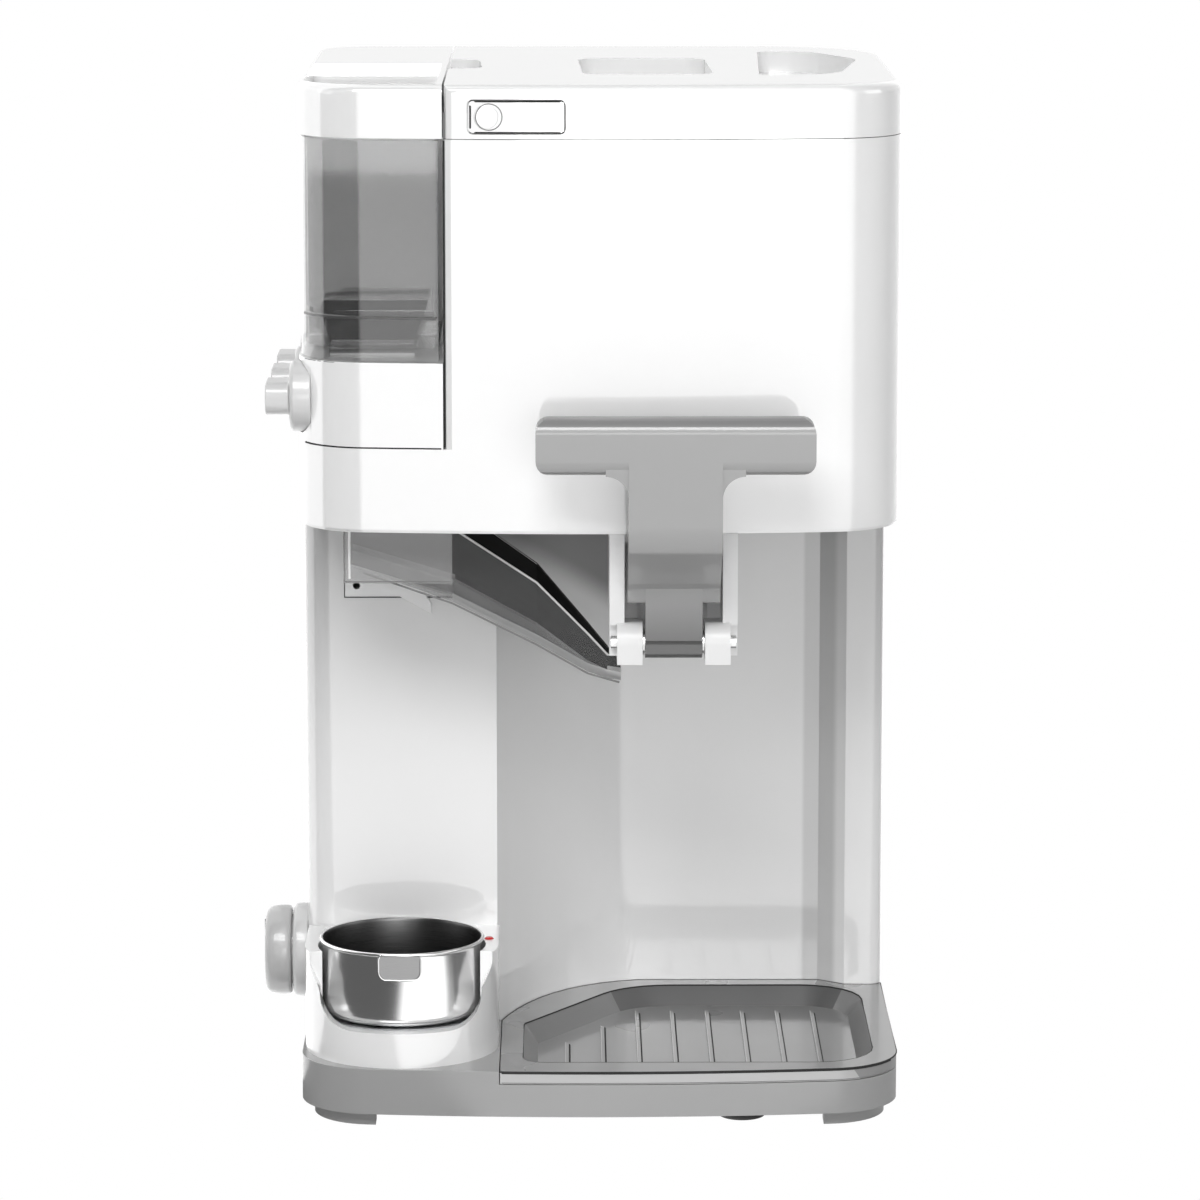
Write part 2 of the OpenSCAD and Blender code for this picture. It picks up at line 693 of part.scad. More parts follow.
// Push button that lets the lid go: its face follows the bowed front, a flange holds it behind the wall.
module lid_latch() color([0.95, 0.95, 0.95]) {
    intersection() {
        translate([0, 8, 0]) rotate([90, 0, 0]) linear_extrude(12) latch_outline(latch_gap);
        difference() {
            slab(plan(housing_w, 0.1), lid_z, top_z);
            slab(plan(housing_w, 4), lid_z - 1, top_z + 1);
        }
    }
    intersection() {
        box(latch_x - 1.5, latch_x + latch_w + 1.5, -1, 12, lid_z + 0.8, latch_z + latch_h / 2 + 1.5);
        difference() {
            slab(plan(housing_w, 2.5 + slack), lid_z, top_z);
            slab(plan(housing_w, 4.3), lid_z - 1, top_z + 1);
        }
    }
    translate([nub_x, bow(nub_x) + 0.2, latch_z]) rotate([90, 0, 0])
        cylinder(d1 = nub_d, d2 = nub_d - 2.4, h = 0.7);
}

module lid_hinge_pins() color("silver") {
    bar_x([main_ears[0] - 12, hinge_y, hinge_z], hinge_pin_d, main_ears[1] - main_ears[0] + 24);
    bar_x([side_ears[0] - 10, hinge_y, hinge_z], hinge_pin_d, side_ears[1] - side_ears[0] + 20);
}

module dispenser_lid() color([0.97, 0.97, 0.97]) {
    difference() {
        union() {
            difference() {
                crowned(housing_w, lid_bottom, top_z, lid_edge_r, -half_h - 1, bay_x - seam);
                difference() {
                    slab(plan(housing_w, 2.5), lid_bottom - 1, top_z - 10);
                    box(bay_x - seam - 2.5, half_h + 1, -1, body_d + 1, 0, top_z + 1);
                }
            }
            for (x = side_ears, s = [-1, 1]) lid_ear(x + s * (ear_t / 2 + 3.5));
        }
        // finger scoop: its floor slopes down from the front to a step at the back
        intersection() {
            translate([-half_h, 0, 0]) rotate([90, 0, 90]) linear_extrude(bay_w) polygon([
                [6, top_z + 1], [6, top_z - 2.4], [112, top_z - 7.5], [118, top_z - 5], [120, top_z + 1]]);
            slab(plan(housing_w, 3), lid_z, top_z + 2);
            box(-half_h, bay_x - seam - 2.5, -1, body_d, lid_z, top_z + 2);
        }
        for (x = side_ears) ear_slot(x);
        rear_round(-half_h - 1, bay_x + 1);
        bar_x([-half_h + 3, hinge_y, hinge_z], hinge_pin_d + running * 2, bay_w);
    }
}

// ---- mix-in dispenser --------------------------------------------------------------------------------

rotor_z = block_z + 18;
block_top = block_z + block_h;
cavity_r = rotor_r + 0.6;
rotor_l = drop_w;
funnel_x0 = bay_mid - 18;
funnel_x1 = bay_mid + 18;
funnel_y0 = chute_y + chute_wall + 4;
funnel_y1 = tower_y - chute_wall - 6;

module dispenser_block() color([0.96, 0.96, 0.96]) {
    difference() {
        intersection() {
            slab(plan(housing_w, 0), block_z, block_top);
            box(-half_h - 1, bay_x - seam, -1, bay_d - seam, block_z - 1, block_top + 1);
        }
        for (k = [0:container_count - 1]) {
            bar_x([bay_mid - rotor_l / 2, rotor_y(k), rotor_z], cavity_r * 2, rotor_l);
            box(bay_mid - drop_w / 2, bay_mid + drop_w / 2, rotor_y(k) - drop_d / 2, rotor_y(k) + drop_d / 2,
                block_z - 1, block_top + 1);
            bar_x([-half_h - 1, rotor_y(k), rotor_z], dial_shaft_d + running * 2, bay_w - 6);
            bar_x([-half_h - 1, rotor_y(k), rotor_z], dial_r * 2 + 0.8, 6.2);
        }
    }
}

module rotor(k) color([0.75, 0.75, 0.76]) {
    translate([bay_mid, rotor_y(k), rotor_z]) rotate([0, 90, 0]) difference() {
        union() {
            translate([0, 0, -rotor_l / 2 + 0.5]) cylinder(d = 11, h = rotor_l - 1);
            for (a = [0:60:300]) rotate(a)
                translate([0, -0.8, -rotor_l / 2 + 0.5]) cube([rotor_r, 1.6, rotor_l - 1]);
        }
        translate([0, 0, -rotor_l]) cylinder(d = dial_shaft_d, h = rotor_l * 2);
    }
}
module rotor_1() rotor(0);
module rotor_2() rotor(1);
module rotor_3() rotor(2);

dial_out = 3.6;                                // how far the disc stands out of the housing's side
grip_out = 9.6;
grip_h = 13;
module dial(k) color([0.78, 0.78, 0.79]) {
    translate([-half_h, rotor_y(k), rotor_z]) rotate([0, 90, 0]) {
        // shaft through the rotor, disc and raised grip
        cylinder(d = dial_shaft_d, h = bay_w - 10);
        translate([0, 0, 1.2 - dial_out]) cylinder(r = dial_r, h = dial_out + 4);
        translate([0, 0, -dial_out]) cylinder(r1 = dial_r - 1.2, r2 = dial_r, h = 1.2);
        translate([0, 0, -dial_out - grip_out]) linear_extrude(grip_out + 1)
            polygon(rounded([[-grip_h / 2, -dial_r + 1.5, 5], [grip_h / 2, -dial_r + 1.5, 5],
                [grip_h / 2, dial_r - 1.5, 5], [-grip_h / 2, dial_r - 1.5, 5]]));
    }
}
module dial_1() dial(0);
module dial_2() dial(1);
module dial_3() dial(2);

container_z0 = block_top + slack;
container_z1 = lid_z - 0.6;
function container_y0(k) = k == 0 ? -1 : rotor_y(k) - dial_pitch / 2 + 0.5;
function container_y1(k) = rotor_y(k) + dial_pitch / 2 - 0.5;
hopper_z = container_z0 + 20;

// Space of one container, drawn in by i.
module container_space(k, i, z0, z1) {
    intersection() {
        slab(plan(housing_w, 1 + i), z0, z1);
        box(-half_h + 1 + i, bay_x - 2 - i, max(container_y0(k), -1) + i, container_y1(k) - i, z0, z1);
    }
}

module container(k) color([0.85, 0.85, 0.87, 0.35]) {
    difference() {
        container_space(k, 0, container_z0, container_z1);
        container_space(k, container_wall, container_z0 + 5, container_z1 + 1);
        // seat of the hopper and its outlet
        box(bay_mid - drop_w / 2, bay_mid + drop_w / 2,
            rotor_y(k) - drop_d / 2 - 2, rotor_y(k) + drop_d / 2 + 2,
            container_z0 - 1, container_z0 + 6);
    }
}
module container_1() container(0);
module container_2() container(1);
module container_3() container(2);

// Smoked hopper that stands in a container and narrows to the outlet above the rotor.
module hopper(k) color([0.3, 0.3, 0.32, 0.6]) {
    g = container_wall + slack;
    y0 = max(container_y0(k), 1.5) + g;
    y1 = container_y1(k) - g;
    difference() {
        union() {
            container_space(k, g, hopper_z - 2, hopper_z);
            intersection() {
                container_space(k, g, container_z0 + 5.3, hopper_z);
                hull() {
                    box(bay_mid - 24, bay_mid + 24, y0 + 5, y1 - 2, hopper_z - 2, hopper_z - 1);
                    box(bay_mid - 18, bay_mid + 18, rotor_y(k) - 9, rotor_y(k) + 9,
                        container_z0 + 5.3, container_z0 + 6.3);
                }
            }
        }
        hull() {
            box(bay_mid - 20.2, bay_mid + 22.2, y0 + 8.8, y1 - 3.8, hopper_z, hopper_z + 1);
            box(bay_mid - 16.2, bay_mid + 16.2, rotor_y(k) - 7.2, rotor_y(k) + 7.2,
                container_z0 + 5, container_z0 + 5.2);
        }
    }
}
module hopper_1() hopper(0);
module hopper_2() hopper(1);
module hopper_3() hopper(2);

// Funnel below the block that gathers the three drops over the chute's box.
module mixin_funnel() color([0.9, 0.9, 0.9]) {
    t = 1.6;
    ft = bay_floor - slack;
    fb = housing_z;
    yb = rotor_y(container_count - 1) + drop_d;
    difference() {
        hull() {
            box(bay_mid - drop_w / 2 - 3, bay_mid + drop_w / 2 + 3, dial_y - drop_d, yb, ft - 1, ft);
            box(funnel_x0, funnel_x1, funnel_y0, funnel_y1, fb, fb + 1);
        }
        hull() {
            box(bay_mid - drop_w / 2 - 1, bay_mid + drop_w / 2 + 1, dial_y - drop_d + 2, yb - 2, ft, ft + 1);
            box(funnel_x0 + t, funnel_x1 - t, funnel_y0 + t, funnel_y1 - t, fb - 1, fb);
        }
    }
}

// ---- mix-in chute ------------------------------------------------------------------------------------

box_x0 = -half_h + 17.5;
box_x1 = box_x0 + chute_box_w;
box_y1 = tower_y - 1.2;
box_z1 = housing_z - slack;
box_z0 = box_z1 - chute_box_h;
tip_x = spout_x - cheek_w / 2 - 0.6;
tip_y0 = plunger_y - 6;
tip_y1 = plunger_y + 14;
lip_z = lever_z - 8.5;                         // clear of the knuckles above it

// Sections of the trough from the box to its tip: [x, low z, high z, front y, back y]
chute_sections = [
    [box_x0 + 8, box_z0 + 4, box_z1, chute_y, box_y1],
    [box_x1, box_z0 - 9, box_z1, chute_y, box_y1],
    [box_x1 + 34, chute_tip_z + 15, box_z0, chute_y + 1, box_y1 - 8],
    [tip_x - 8, chute_tip_z + 3.5, chute_tip_z + 20.5, tip_y0 + 1, tip_y1 + 8],
    [tip_x, chute_tip_z + 1, lip_z, tip_y0, tip_y1],
    [tip_x + 5.5, chute_tip_z, lip_z, tip_y0, tip_y1]];

// U-shaped section with round lower corners, drawn in by i and rising past the rim where i > 0.
function trough_section(s, i, x) =
    [for (p = rounded([[s[3] + i, s[1] + i, 8 - i], [s[4] - i, s[1] + i, 8 - i],
        [s[4] - i, s[2] + (i > 0 ? 4 : 0), 0], [s[3] + i, s[2] + (i > 0 ? 4 : 0), 0]], 4)) [x, p[0], p[1]]];

// Solid through equal sections that follow each other along X.
module loft(sections) {
    n = len(sections[0]);
    m = len(sections);
    polyhedron(
        points = [for (s = sections) each s],
        faces = concat(
            [[for (k = [0:n - 1]) k]],
            [for (j = [0:m - 2], k = [0:n - 1]) let (a = j * n + k, b = j * n + (k + 1) % n) each
                [[a, a + n, b], [b, a + n, b + n]]],
            [[for (k = [n - 1:-1:0]) (m - 1) * n + k]]));
}

module mixin_chute() color([0.8, 0.8, 0.82, 0.4]) {
    w = chute_wall;
    last = len(chute_sections) - 1;
    difference() {
        union() {
            box(box_x0, box_x1, chute_y, box_y1, box_z0, box_z1);
            loft([for (s = chute_sections) trough_section(s, 0, s[0])]);
        }
        // hollow of the box and the trough, open above and at the tip
        loft([for (k = [0:last]) let (s = chute_sections[k])
            trough_section(s, w, s[0] + (k == 0 ? w - 8 : k == last ? 1 : 0))]);
    }
}

// White plate on the tower with a triangular fin under the chute's box.
module chute_bracket() color([0.93, 0.93, 0.93]) {
    y = tower_y - 1;
    difference() {
        union() {
            box(pad_x, pad_x + pad_w, y - 0.01, tower_y, housing_z - 39, housing_z - slack);
            translate([pad_x + 18, y, 0]) rotate([90, 0, 0]) linear_extrude(2.4) polygon([
                [0, box_z0 - 12], [0, box_z0 - 1], [8, box_z0 - 1], [18, box_z0 - 18], [18, box_z0 - 22]]);
        }
        for (x = [pad_x + 5, pad_x + pad_w - 5]) bar_y([x, tower_y - 5, housing_z - 34], screw_d, 8);
    }
}

// ---- freezer bowl and paddle -------------------------------------------------------------------------

bowl_r = bowl_d / 2;
liner_r = bowl_r - bowl_skin - coolant_t;              // outside of the liner
floor_z = bowl_z + bowl_skin + coolant_t + bowl_skin;  // inside of the liner's floor
bowl_top = bowl_z + bowl_h;
sleeve_d = shaft_d + 8;
sleeve_h = 12;
rim_h = 4;                                              // height of the ring that closes the bowl's walls

module at_bowl() { translate([spout_x, bowl_y, 0]) children(); }

module bowl_openings(d_out, d_mid, z0, h) {
    translate([0, outlet_y - bowl_y, z0]) cylinder(d = d_out, h = h);
    translate([0, 0, z0]) cylinder(d = d_mid, h = h);
}

module bowl_shell() color([0.88, 0.89, 0.9]) {
    at_bowl() difference() {
        translate([0, 0, bowl_z]) cylinder(r = bowl_r, h = bowl_h - rim_h, $fn = 96);
        translate([0, 0, bowl_z + bowl_skin]) cylinder(r = bowl_r - bowl_skin, h = bowl_h, $fn = 96);
        bowl_openings(outlet_d + 2 * bowl_skin, sleeve_d, bowl_z - 1, 10);
    }
}

module bowl_liner() color([0.78, 0.79, 0.8]) {
    at_bowl() difference() {
        union() {
            translate([0, 0, bowl_z + bowl_skin + coolant_t])
                cylinder(r = liner_r, h = bowl_h - rim_h - bowl_skin - coolant_t, $fn = 96);
            // spout and shaft sleeves down to the bowl's underside
            translate([0, outlet_y - bowl_y, bowl_z]) cylinder(d = outlet_d + 2 * bowl_skin, h = 12);
            translate([0, 0, bowl_z]) cylinder(d = sleeve_d, h = floor_z - bowl_z + sleeve_h);
        }
        difference() {
            translate([0, 0, floor_z]) cylinder(r = liner_r - bowl_skin, h = bowl_h, $fn = 96);
            translate([0, 0, bowl_z]) cylinder(d = sleeve_d, h = floor_z - bowl_z + sleeve_h);
        }
        bowl_openings(outlet_d, shaft_d + 1, bowl_z - 1, 100);
    }
}

module coolant() color([0.35, 0.6, 0.8]) {
    at_bowl() difference() {
        translate([0, 0, bowl_z + bowl_skin])
            cylinder(r = bowl_r - bowl_skin, h = bowl_h - rim_h - bowl_skin - 6, $fn = 96);
        translate([0, 0, bowl_z + bowl_skin + coolant_t]) cylinder(r = liner_r, h = bowl_h, $fn = 96);
        bowl_openings(outlet_d + 2 * bowl_skin, sleeve_d, bowl_z - 1, 60);
    }
}

module bowl_rim() color([0.92, 0.92, 0.93]) {
    at_bowl() difference() {
        translate([0, 0, bowl_top - rim_h]) cylinder(r = bowl_r + 1, h = rim_h, $fn = 96);
        translate([0, 0, bowl_top - rim_h - 1]) cylinder(r = liner_r - bowl_skin, h = 6, $fn = 96);
    }
}

module outlet_seal() color([0.25, 0.25, 0.26]) {
    translate([spout_x, outlet_y, bowl_z - 2.4]) difference() {
        cylinder(d = outlet_d + 8, h = 2.4);
        translate([0, 0, -1]) cylinder(d = outlet_d, h = 5);
    }
}

paddle_r = liner_r - bowl_skin - paddle_gap;
paddle_z0 = floor_z + paddle_gap;
paddle_z1 = bowl_top - 12;
hub_d = sleeve_d + 10;
hub_z1 = floor_z + sleeve_h + 28;
drive_flats = shaft_d - 2;                       // across the flats of the shaft's square head

arm_t = 6;                                       // thickness of the paddle's frame
arm_w = 9;                                       // width of its bars
module mixing_paddle() color([0.93, 0.93, 0.92]) {
    bl = paddle_r - 6;
    h = paddle_z1 - paddle_z0;
    at_bowl() difference() {
        union() {
            translate([0, 0, paddle_z0]) cylinder(d = hub_d, h = hub_z1 - paddle_z0);
            // frame: lower arms, uprights and an upper cross bar
            for (s = [0, 180]) rotate(s) {
                translate([hub_d / 2 - 2, -arm_t / 2, paddle_z0]) cube([bl - hub_d / 2 + 2, arm_t, arm_w]);
                translate([bl - arm_w, -arm_t / 2, paddle_z0]) cube([arm_w, arm_t, h]);
                translate([0, -arm_t / 2, paddle_z1 - arm_w]) cube([bl, arm_t, arm_w]);
                translate([bl * 0.45, -arm_t / 3, paddle_z0]) cube([arm_w * 0.8, arm_t / 1.5, h]);
            }
            translate([0, 0, hub_z1 - 1]) cylinder(d = arm_t * 2, h = paddle_z1 - hub_z1 + 1);
        }
        // the bowl's sleeve and the shaft's square head go up inside the hub
        translate([0, 0, paddle_z0 - 1]) cylinder(d = sleeve_d + 1.2, h = sleeve_h + 1);
        translate([-drive_flats / 2 - 0.15, -drive_flats / 2 - 0.15, paddle_z0])
            cube([drive_flats + 0.3, drive_flats + 0.3, sleeve_h + 20]);
    }
}

module paddle_scrapers() color([0.7, 0.72, 0.74]) {
    bl = paddle_r - 6;
    at_bowl() for (s = [0, 180]) rotate(s)
        translate([bl, -1.2, paddle_z0 + 2]) cube([5.6, 2.4, paddle_z1 - paddle_z0 - 4]);
}

// ---- drive -------------------------------------------------------------------------------------------

motor_y = body_d - wall - motor_gap - motor_d / 2;
gear_module = (motor_y - bowl_y) / (bowl_teeth / 2 + idler_teeth + pinion_teeth / 2);
gear_r = gear_module * bowl_teeth / 2;
idler_r = gear_module * idler_teeth / 2;
idler_y = bowl_y + gear_r + idler_r;

// One tooth's width as an angle at radius r, thinner than half a pitch so that the gears run free.
function tooth_points(n, m) =
    [for (k = [0:n - 1]) let (r = m * n / 2, a = 360 * k / n, w = 360 / n)
        each [[r - 1.15 * m, a - w * 0.30], [r, a - w * 0.205], [r + 0.8 * m, a - w * 0.105],
            [r + 0.8 * m, a + w * 0.105], [r, a + w * 0.205], [r - 1.15 * m, a + w * 0.30]]];

module gear(n, turn) {
    rotate(turn) linear_extrude(gear_t)
        polygon([for (p = tooth_points(n, gear_module)) [p[0] * cos(p[1]), p[0] * sin(p[1])]]);
}

module drive_shaft() color("silver") {
    at_bowl() difference() {
        translate([0, 0, gear_z]) cylinder(d = shaft_d, h = floor_z + sleeve_h + 16 - gear_z);
        // square head
        difference() {
            translate([-20, -20, floor_z + sleeve_h + 1]) cube([40, 40, 40]);
            translate([-drive_flats / 2, -drive_flats / 2, floor_z]) cube([drive_flats, drive_flats, 60]);
        }
    }
}

module bowl_gear() color([0.9, 0.88, 0.82]) {
    boss_r = shaft_d / 2 + 5;
    web = gear_r - 1.15 * gear_module - boss_r;
    at_bowl() difference() {
        union() {
            translate([0, 0, gear_z]) gear(bowl_teeth, 90);
            translate([0, 0, gear_z]) cylinder(r = boss_r, h = gear_t + 1.5);
        }
        translate([0, 0, gear_z - 1]) cylinder(d = shaft_d, h = 20);
        for (a = [30:60:330]) rotate(a) translate([boss_r + web / 2, 0, gear_z - 1])
            cylinder(d = web * 0.55, h = 20);
    }
}

idler_bore = 5;
module idler_gear() color([0.9, 0.88, 0.82]) {
    translate([spout_x, idler_y, gear_z]) difference() {
        gear(idler_teeth, 270 + 180 / idler_teeth);
        translate([0, 0, -1]) cylinder(d = idler_bore + running * 2, h = 20);
    }
}

module idler_axle() color("silver") {
    translate([spout_x, idler_y, housing_z + 0.2]) {
        cylinder(d = idler_bore, h = gear_z + gear_t - housing_z + 1);
        translate([0, 0, wall - 0.2]) cylinder(d = 8, h = 0.7);
        translate([0, 0, gear_z + gear_t - housing_z + 0.1]) cylinder(d = 8, h = 1);
    }
}

motor_shaft_d = 6;
module motor_pinion() color([0.75, 0.75, 0.7]) {
    translate([spout_x, motor_y, 0]) {
        translate([0, 0, gear_z]) gear(pinion_teeth, 90);
        translate([0, 0, housing_z - 12])
            cylinder(d = motor_shaft_d, h = gear_z - housing_z + 12 + gear_t + 1);
    }
}

bracket_t = 2;
module drive_motor() color([0.45, 0.46, 0.48]) {
    translate([spout_x, motor_y, housing_z - bracket_t - 2.2]) rotate([180, 0, 0]) difference() {
        union() {
            cylinder(d = motor_d, h = 14);
            translate([0, 0, 14]) cylinder(d = motor_d - 4, h = motor_l - 14);
            translate([0, 0, motor_l]) cylinder(d = 16, h = 3);
            translate([0, 0, -2.2]) cylinder(d = 16, h = 2.2);
        }
        translate([0, 0, -3]) cylinder(d = motor_shaft_d + running * 2, h = 14);
        for (a = [45:45:360]) rotate(a) translate([motor_d / 2 - 7, -1.5, 30]) cube([10, 3, 20]);
    }
}

module motor_bracket() color("silver") {
    z = housing_z - bracket_t;
    translate([spout_x, motor_y, z]) difference() {
        union() {
            translate([-32, -20, -0.2]) cube([64, 40, bracket_t]);
            for (x = [-22, 22])
                translate([x, 0, bracket_t - 0.4]) cylinder(d = screw_d - 0.1, h = wall + 0.4);
        }
        translate([0, 0, -1]) cylinder(d = 17, h = 5);
    }
}

// ---- spout and lever ---------------------------------------------------------------------------------

block_x0 = spout_x - cheek_w / 2;
block_x1 = spout_x + cheek_w / 2;
knuckle_r = 8;
knuckle_w = 10.2;
nozzle_d = plunger_d + 6;
nozzle_z = lever_z - 8;                            // mouth of the nozzle
bore_top = housing_z + 8;

module spout_block() color([0.93, 0.93, 0.93]) {
    cheek_bottom = lever_z + 7;
    difference() {
        union() {
            // two cheeks, thinner below
            for (s = [0, 1]) {
                x = s == 0 ? block_x0 : block_x1 - cheek_t;
                box(x, x + cheek_t, 2, plunger_y + 30, cheek_bottom, housing_z);
                xt = s == 0 ? block_x0 : block_x1 - 3.6;
                box(xt, xt + 3.6, 5, plunger_y + 20, lever_z - 6, cheek_bottom + 1);
                // knuckles that hold the pin
                xk = s == 0 ? block_x0 + 3 : block_x1 - 3 - knuckle_w;
                bar_x([xk, lever_y, lever_z], knuckle_r * 2, knuckle_w);
                box(xk, xk + knuckle_w, lever_y - knuckle_r, lever_y + 16, lever_z - knuckle_r, lever_z);
                box(xk, xk + knuckle_w, lever_y, lever_y + 16, lever_z - knuckle_r, cheek_bottom);
            }
            // nozzle, its flange under the housing and the feed behind it
            bar_z([spout_x, plunger_y, nozzle_z], nozzle_d, bore_top - nozzle_z + 3);
            box(block_x0, block_x1, 6, outlet_y + 20, housing_z - 4, housing_z - 0.2);
            box(spout_x - 14, spout_x + 14, plunger_y, outlet_y + 10, lever_z + 2, housing_z);
            for (x = [spout_x - 24, spout_x + 13])
                box(x, x + 11, plunger_y + 14, plunger_y + 18, lever_z - 6, housing_z);
            bar_z([spout_x, outlet_y, housing_z - 1], 25, bowl_z - 2.6 - housing_z + 1);
        }
        bar_z([spout_x, plunger_y, nozzle_z - 1], plunger_d + 0.4, bore_top - nozzle_z + 1);
        // feed from the bowl's outlet, down and forward into the bore
        bar_z([spout_x, outlet_y, lever_z + 22], outlet_d - 2, 60);
        hull() {
            translate([spout_x, outlet_y, lever_z + 24]) sphere(d = outlet_d - 2, $fn = 24);
            translate([spout_x, plunger_y + 4, lever_z + 13]) sphere(d = outlet_d - 4, $fn = 24);
        }
        // window in the nozzle's front for the lever's finger
        box(spout_x - 5, spout_x + 5, lever_y, plunger_y - 4, nozzle_z - 1, lever_z + 22);
        // bore of the lever's pin
        bar_x([block_x0 - 1, lever_y, lever_z], lever_pin_d, cheek_w + 2);
    }
}

notch_low = -5.2;                                  // plunger's notch, from the height of the lever's pin
notch_high = 2.8;
module plunger() color([0.9, 0.9, 0.9]) {
    z0 = nozzle_z;
    z1 = bore_top - plunger_rise - 1;
    translate([spout_x, plunger_y, 0]) difference() {
        translate([0, 0, z0]) cylinder(d = plunger_d, h = z1 - z0);
        // notch for the lever's finger
        box(-5, 5, -plunger_d, 1.2, lever_z + notch_low, lever_z + notch_high);
        for (z = seal_z) translate([0, 0, z]) difference() {
            cylinder(d = plunger_d + 1, h = 2.4);
            translate([0, 0, -1]) cylinder(d = plunger_d - 4, h = 5);
        }
        // star-shaped hollow in the underside
        for (a = [0:60:300]) rotate(a) translate([0, -1.2, z0 - 1]) cube([8, 2.4, 3]);
    }
}

seal_z = [lever_z + 6, lever_z + 24];
module plunger_seals() color([0.2, 0.2, 0.2]) {
    for (z = seal_z) translate([spout_x, plunger_y, z]) difference() {
        cylinder(d = plunger_d + 0.3, h = 2.4);
        translate([0, 0, -1]) cylinder(d = plunger_d - 4, h = 5);
    }
}

bar_r = 6;
function bar_outline(w) =
    rounded([[0, 0, bar_r], [w, 0, bar_r], [w, bar_h, bar_r], [0, bar_h, bar_r]]);
stem_low = lever_z + 50;

// Side view of the lever as [y, z]: the stem, its bend and the foot.
function lever_side() =
    let (f = -lever_reach, t = stem_t)
    rounded([[f, bar_z, 0], [f, stem_low - 5, 16], [-12, lever_z + 26, 6], [-5.5, lever_z + 23, 2],
        [-5.5, lever_z + 17, 1.5], [4, lever_z + 17, 2], [3, lever_z + 27, 4],
        [f + t + 4, stem_low + 2, 12], [f + t, bar_z, 0]], 5);

module lever_profile(w, p) {
    translate([spout_x - w / 2, 0, 0]) rotate([90, 0, 90]) linear_extrude(w) polygon(p);
}

module dispense_lever() color([0.64, 0.64, 0.65]) {
    f = -lever_reach;
    difference() {
        union() {
            // bar, rounded along its edges and at its ends
            intersection() {
                translate([spout_x - bar_w / 2, f, bar_z - bar_h / 2]) rotate([90, 0, 90])
                    linear_extrude(bar_w) polygon(bar_outline(bar_t));
                translate([spout_x - bar_w / 2, f + bar_t, bar_z - bar_h / 2]) rotate([90, 0, 0])
                    linear_extrude(bar_t) polygon(bar_outline(bar_w));
            }
            lever_profile(stem_w, lever_side());
            // fillets between the bar and the stem
            for (s = [-1, 1])
                translate([spout_x + s * stem_w / 2, f + stem_t, bar_z - bar_h / 2]) rotate([90, 0, 0])
                linear_extrude(stem_t - 1) difference() {
                    translate([s > 0 ? -1 : -9, -10]) square([10, 14]);
                    translate([s * 9, -9]) circle(r = 9);
                    translate([s > 0 ? 9 : -19, -20]) square([10, 30]);
                }
            // narrow foot with its hub and the finger that works the plunger
            lever_profile(hub_w, [[-6, lever_z + 24], [-6, lever_z + 2], [-1, lever_z - 2], [6, lever_z],
                [4, lever_z + 24]]);
            bar_x([spout_x - hub_w / 2, lever_y, lever_z], 13, hub_w);
            box(spout_x - 4, spout_x + 4, lever_y, lever_y + 22, lever_z - 1.5, lever_z + 1.5);
        }
        bar_x([spout_x - 60, lever_y, lever_z], lever_pin_d + running * 2, 120);
    }
}

module lever_pin() color("silver") {
    bar_x([block_x0 + 0.6, lever_y, lever_z], lever_pin_d, cheek_w - 1.2);
}

// Torsion springs round the pin at both sides of the hub, drawn as close-wound rings.
module lever_spring() color([0.5, 0.5, 0.52]) {
    gap = (cheek_w / 2 - 3 - knuckle_w) - hub_w / 2;
    for (s = [-1, 1]) translate([spout_x + s * (hub_w / 2 + gap / 2), lever_y, lever_z]) rotate([0, 90, 0])
        translate([0, 0, -0.35]) difference() {
            cylinder(d = lever_pin_d + 4, h = 0.7);
            translate([0, 0, -1]) cylinder(d = lever_pin_d + 0.2, h = 5);
        }
}

// ---- topping warmer ----------------------------------------------------------------------------------

function station_plan(i) = concat(
    arc(station_x, station_y, station_r - i, 180, 360, 32),
    [[station_x + station_r - i, tower_y], [station_x - station_r + i, tower_y]]);

module cup_station() color([0.95, 0.95, 0.95]) {
    pocket_r = cup_d / 2 + 0.6;
    difference() {
        slab(station_plan(0), base_top, station_top);
        // pocket of the cup and well of the heater
        bar_z([station_x, station_y, plate_z - 2.6], pocket_r * 2, 60);
        bar_z([station_x, station_y, base_top - 1], cup_d - 10, 60);
        // S-shaped cut in the front, down to the lip
        translate([0, station_y - 12, 0]) rotate([90, 0, 0]) linear_extrude(60) polygon(rounded([
            [station_x - 37.5, station_top + 5, 0], [station_x - 37.5, station_top - 5, 6],
            [station_x - 33, station_lip + 14, 8], [station_x - 33, station_lip, 12],
            [station_x + 33, station_lip, 12], [station_x + 33, station_lip + 14, 8],
            [station_x + 37.5, station_top - 5, 6], [station_x + 37.5, station_top + 5, 0]]));
        // hole of the lamp
        bar_z([lamp_x, lamp_y, station_top - 8], 4.1, 10);
    }
}

lamp_x = station_x + station_r - 4.2;
lamp_y = station_y + 10;
module warmer_lamp() color([0.85, 0.2, 0.2]) {
    translate([lamp_x, lamp_y, station_top - 6]) {
        cylinder(d = 4, h = 6);
        translate([0, 0, 6]) cylinder(d1 = 4, d2 = 2.6, h = 0.7);
    }
}

module hot_plate() color([0.55, 0.55, 0.57]) {
    translate([station_x, station_y, 0]) {
        translate([0, 0, plate_z - 2.5]) cylinder(d = cup_d - 2, h = 2.5);
        translate([0, 0, base_top]) cylinder(d = 44, h = plate_z - 2.5 - base_top);
        translate([0, 0, base_top + 5]) cylinder(d = cup_d - 11, h = 5);
    }
}

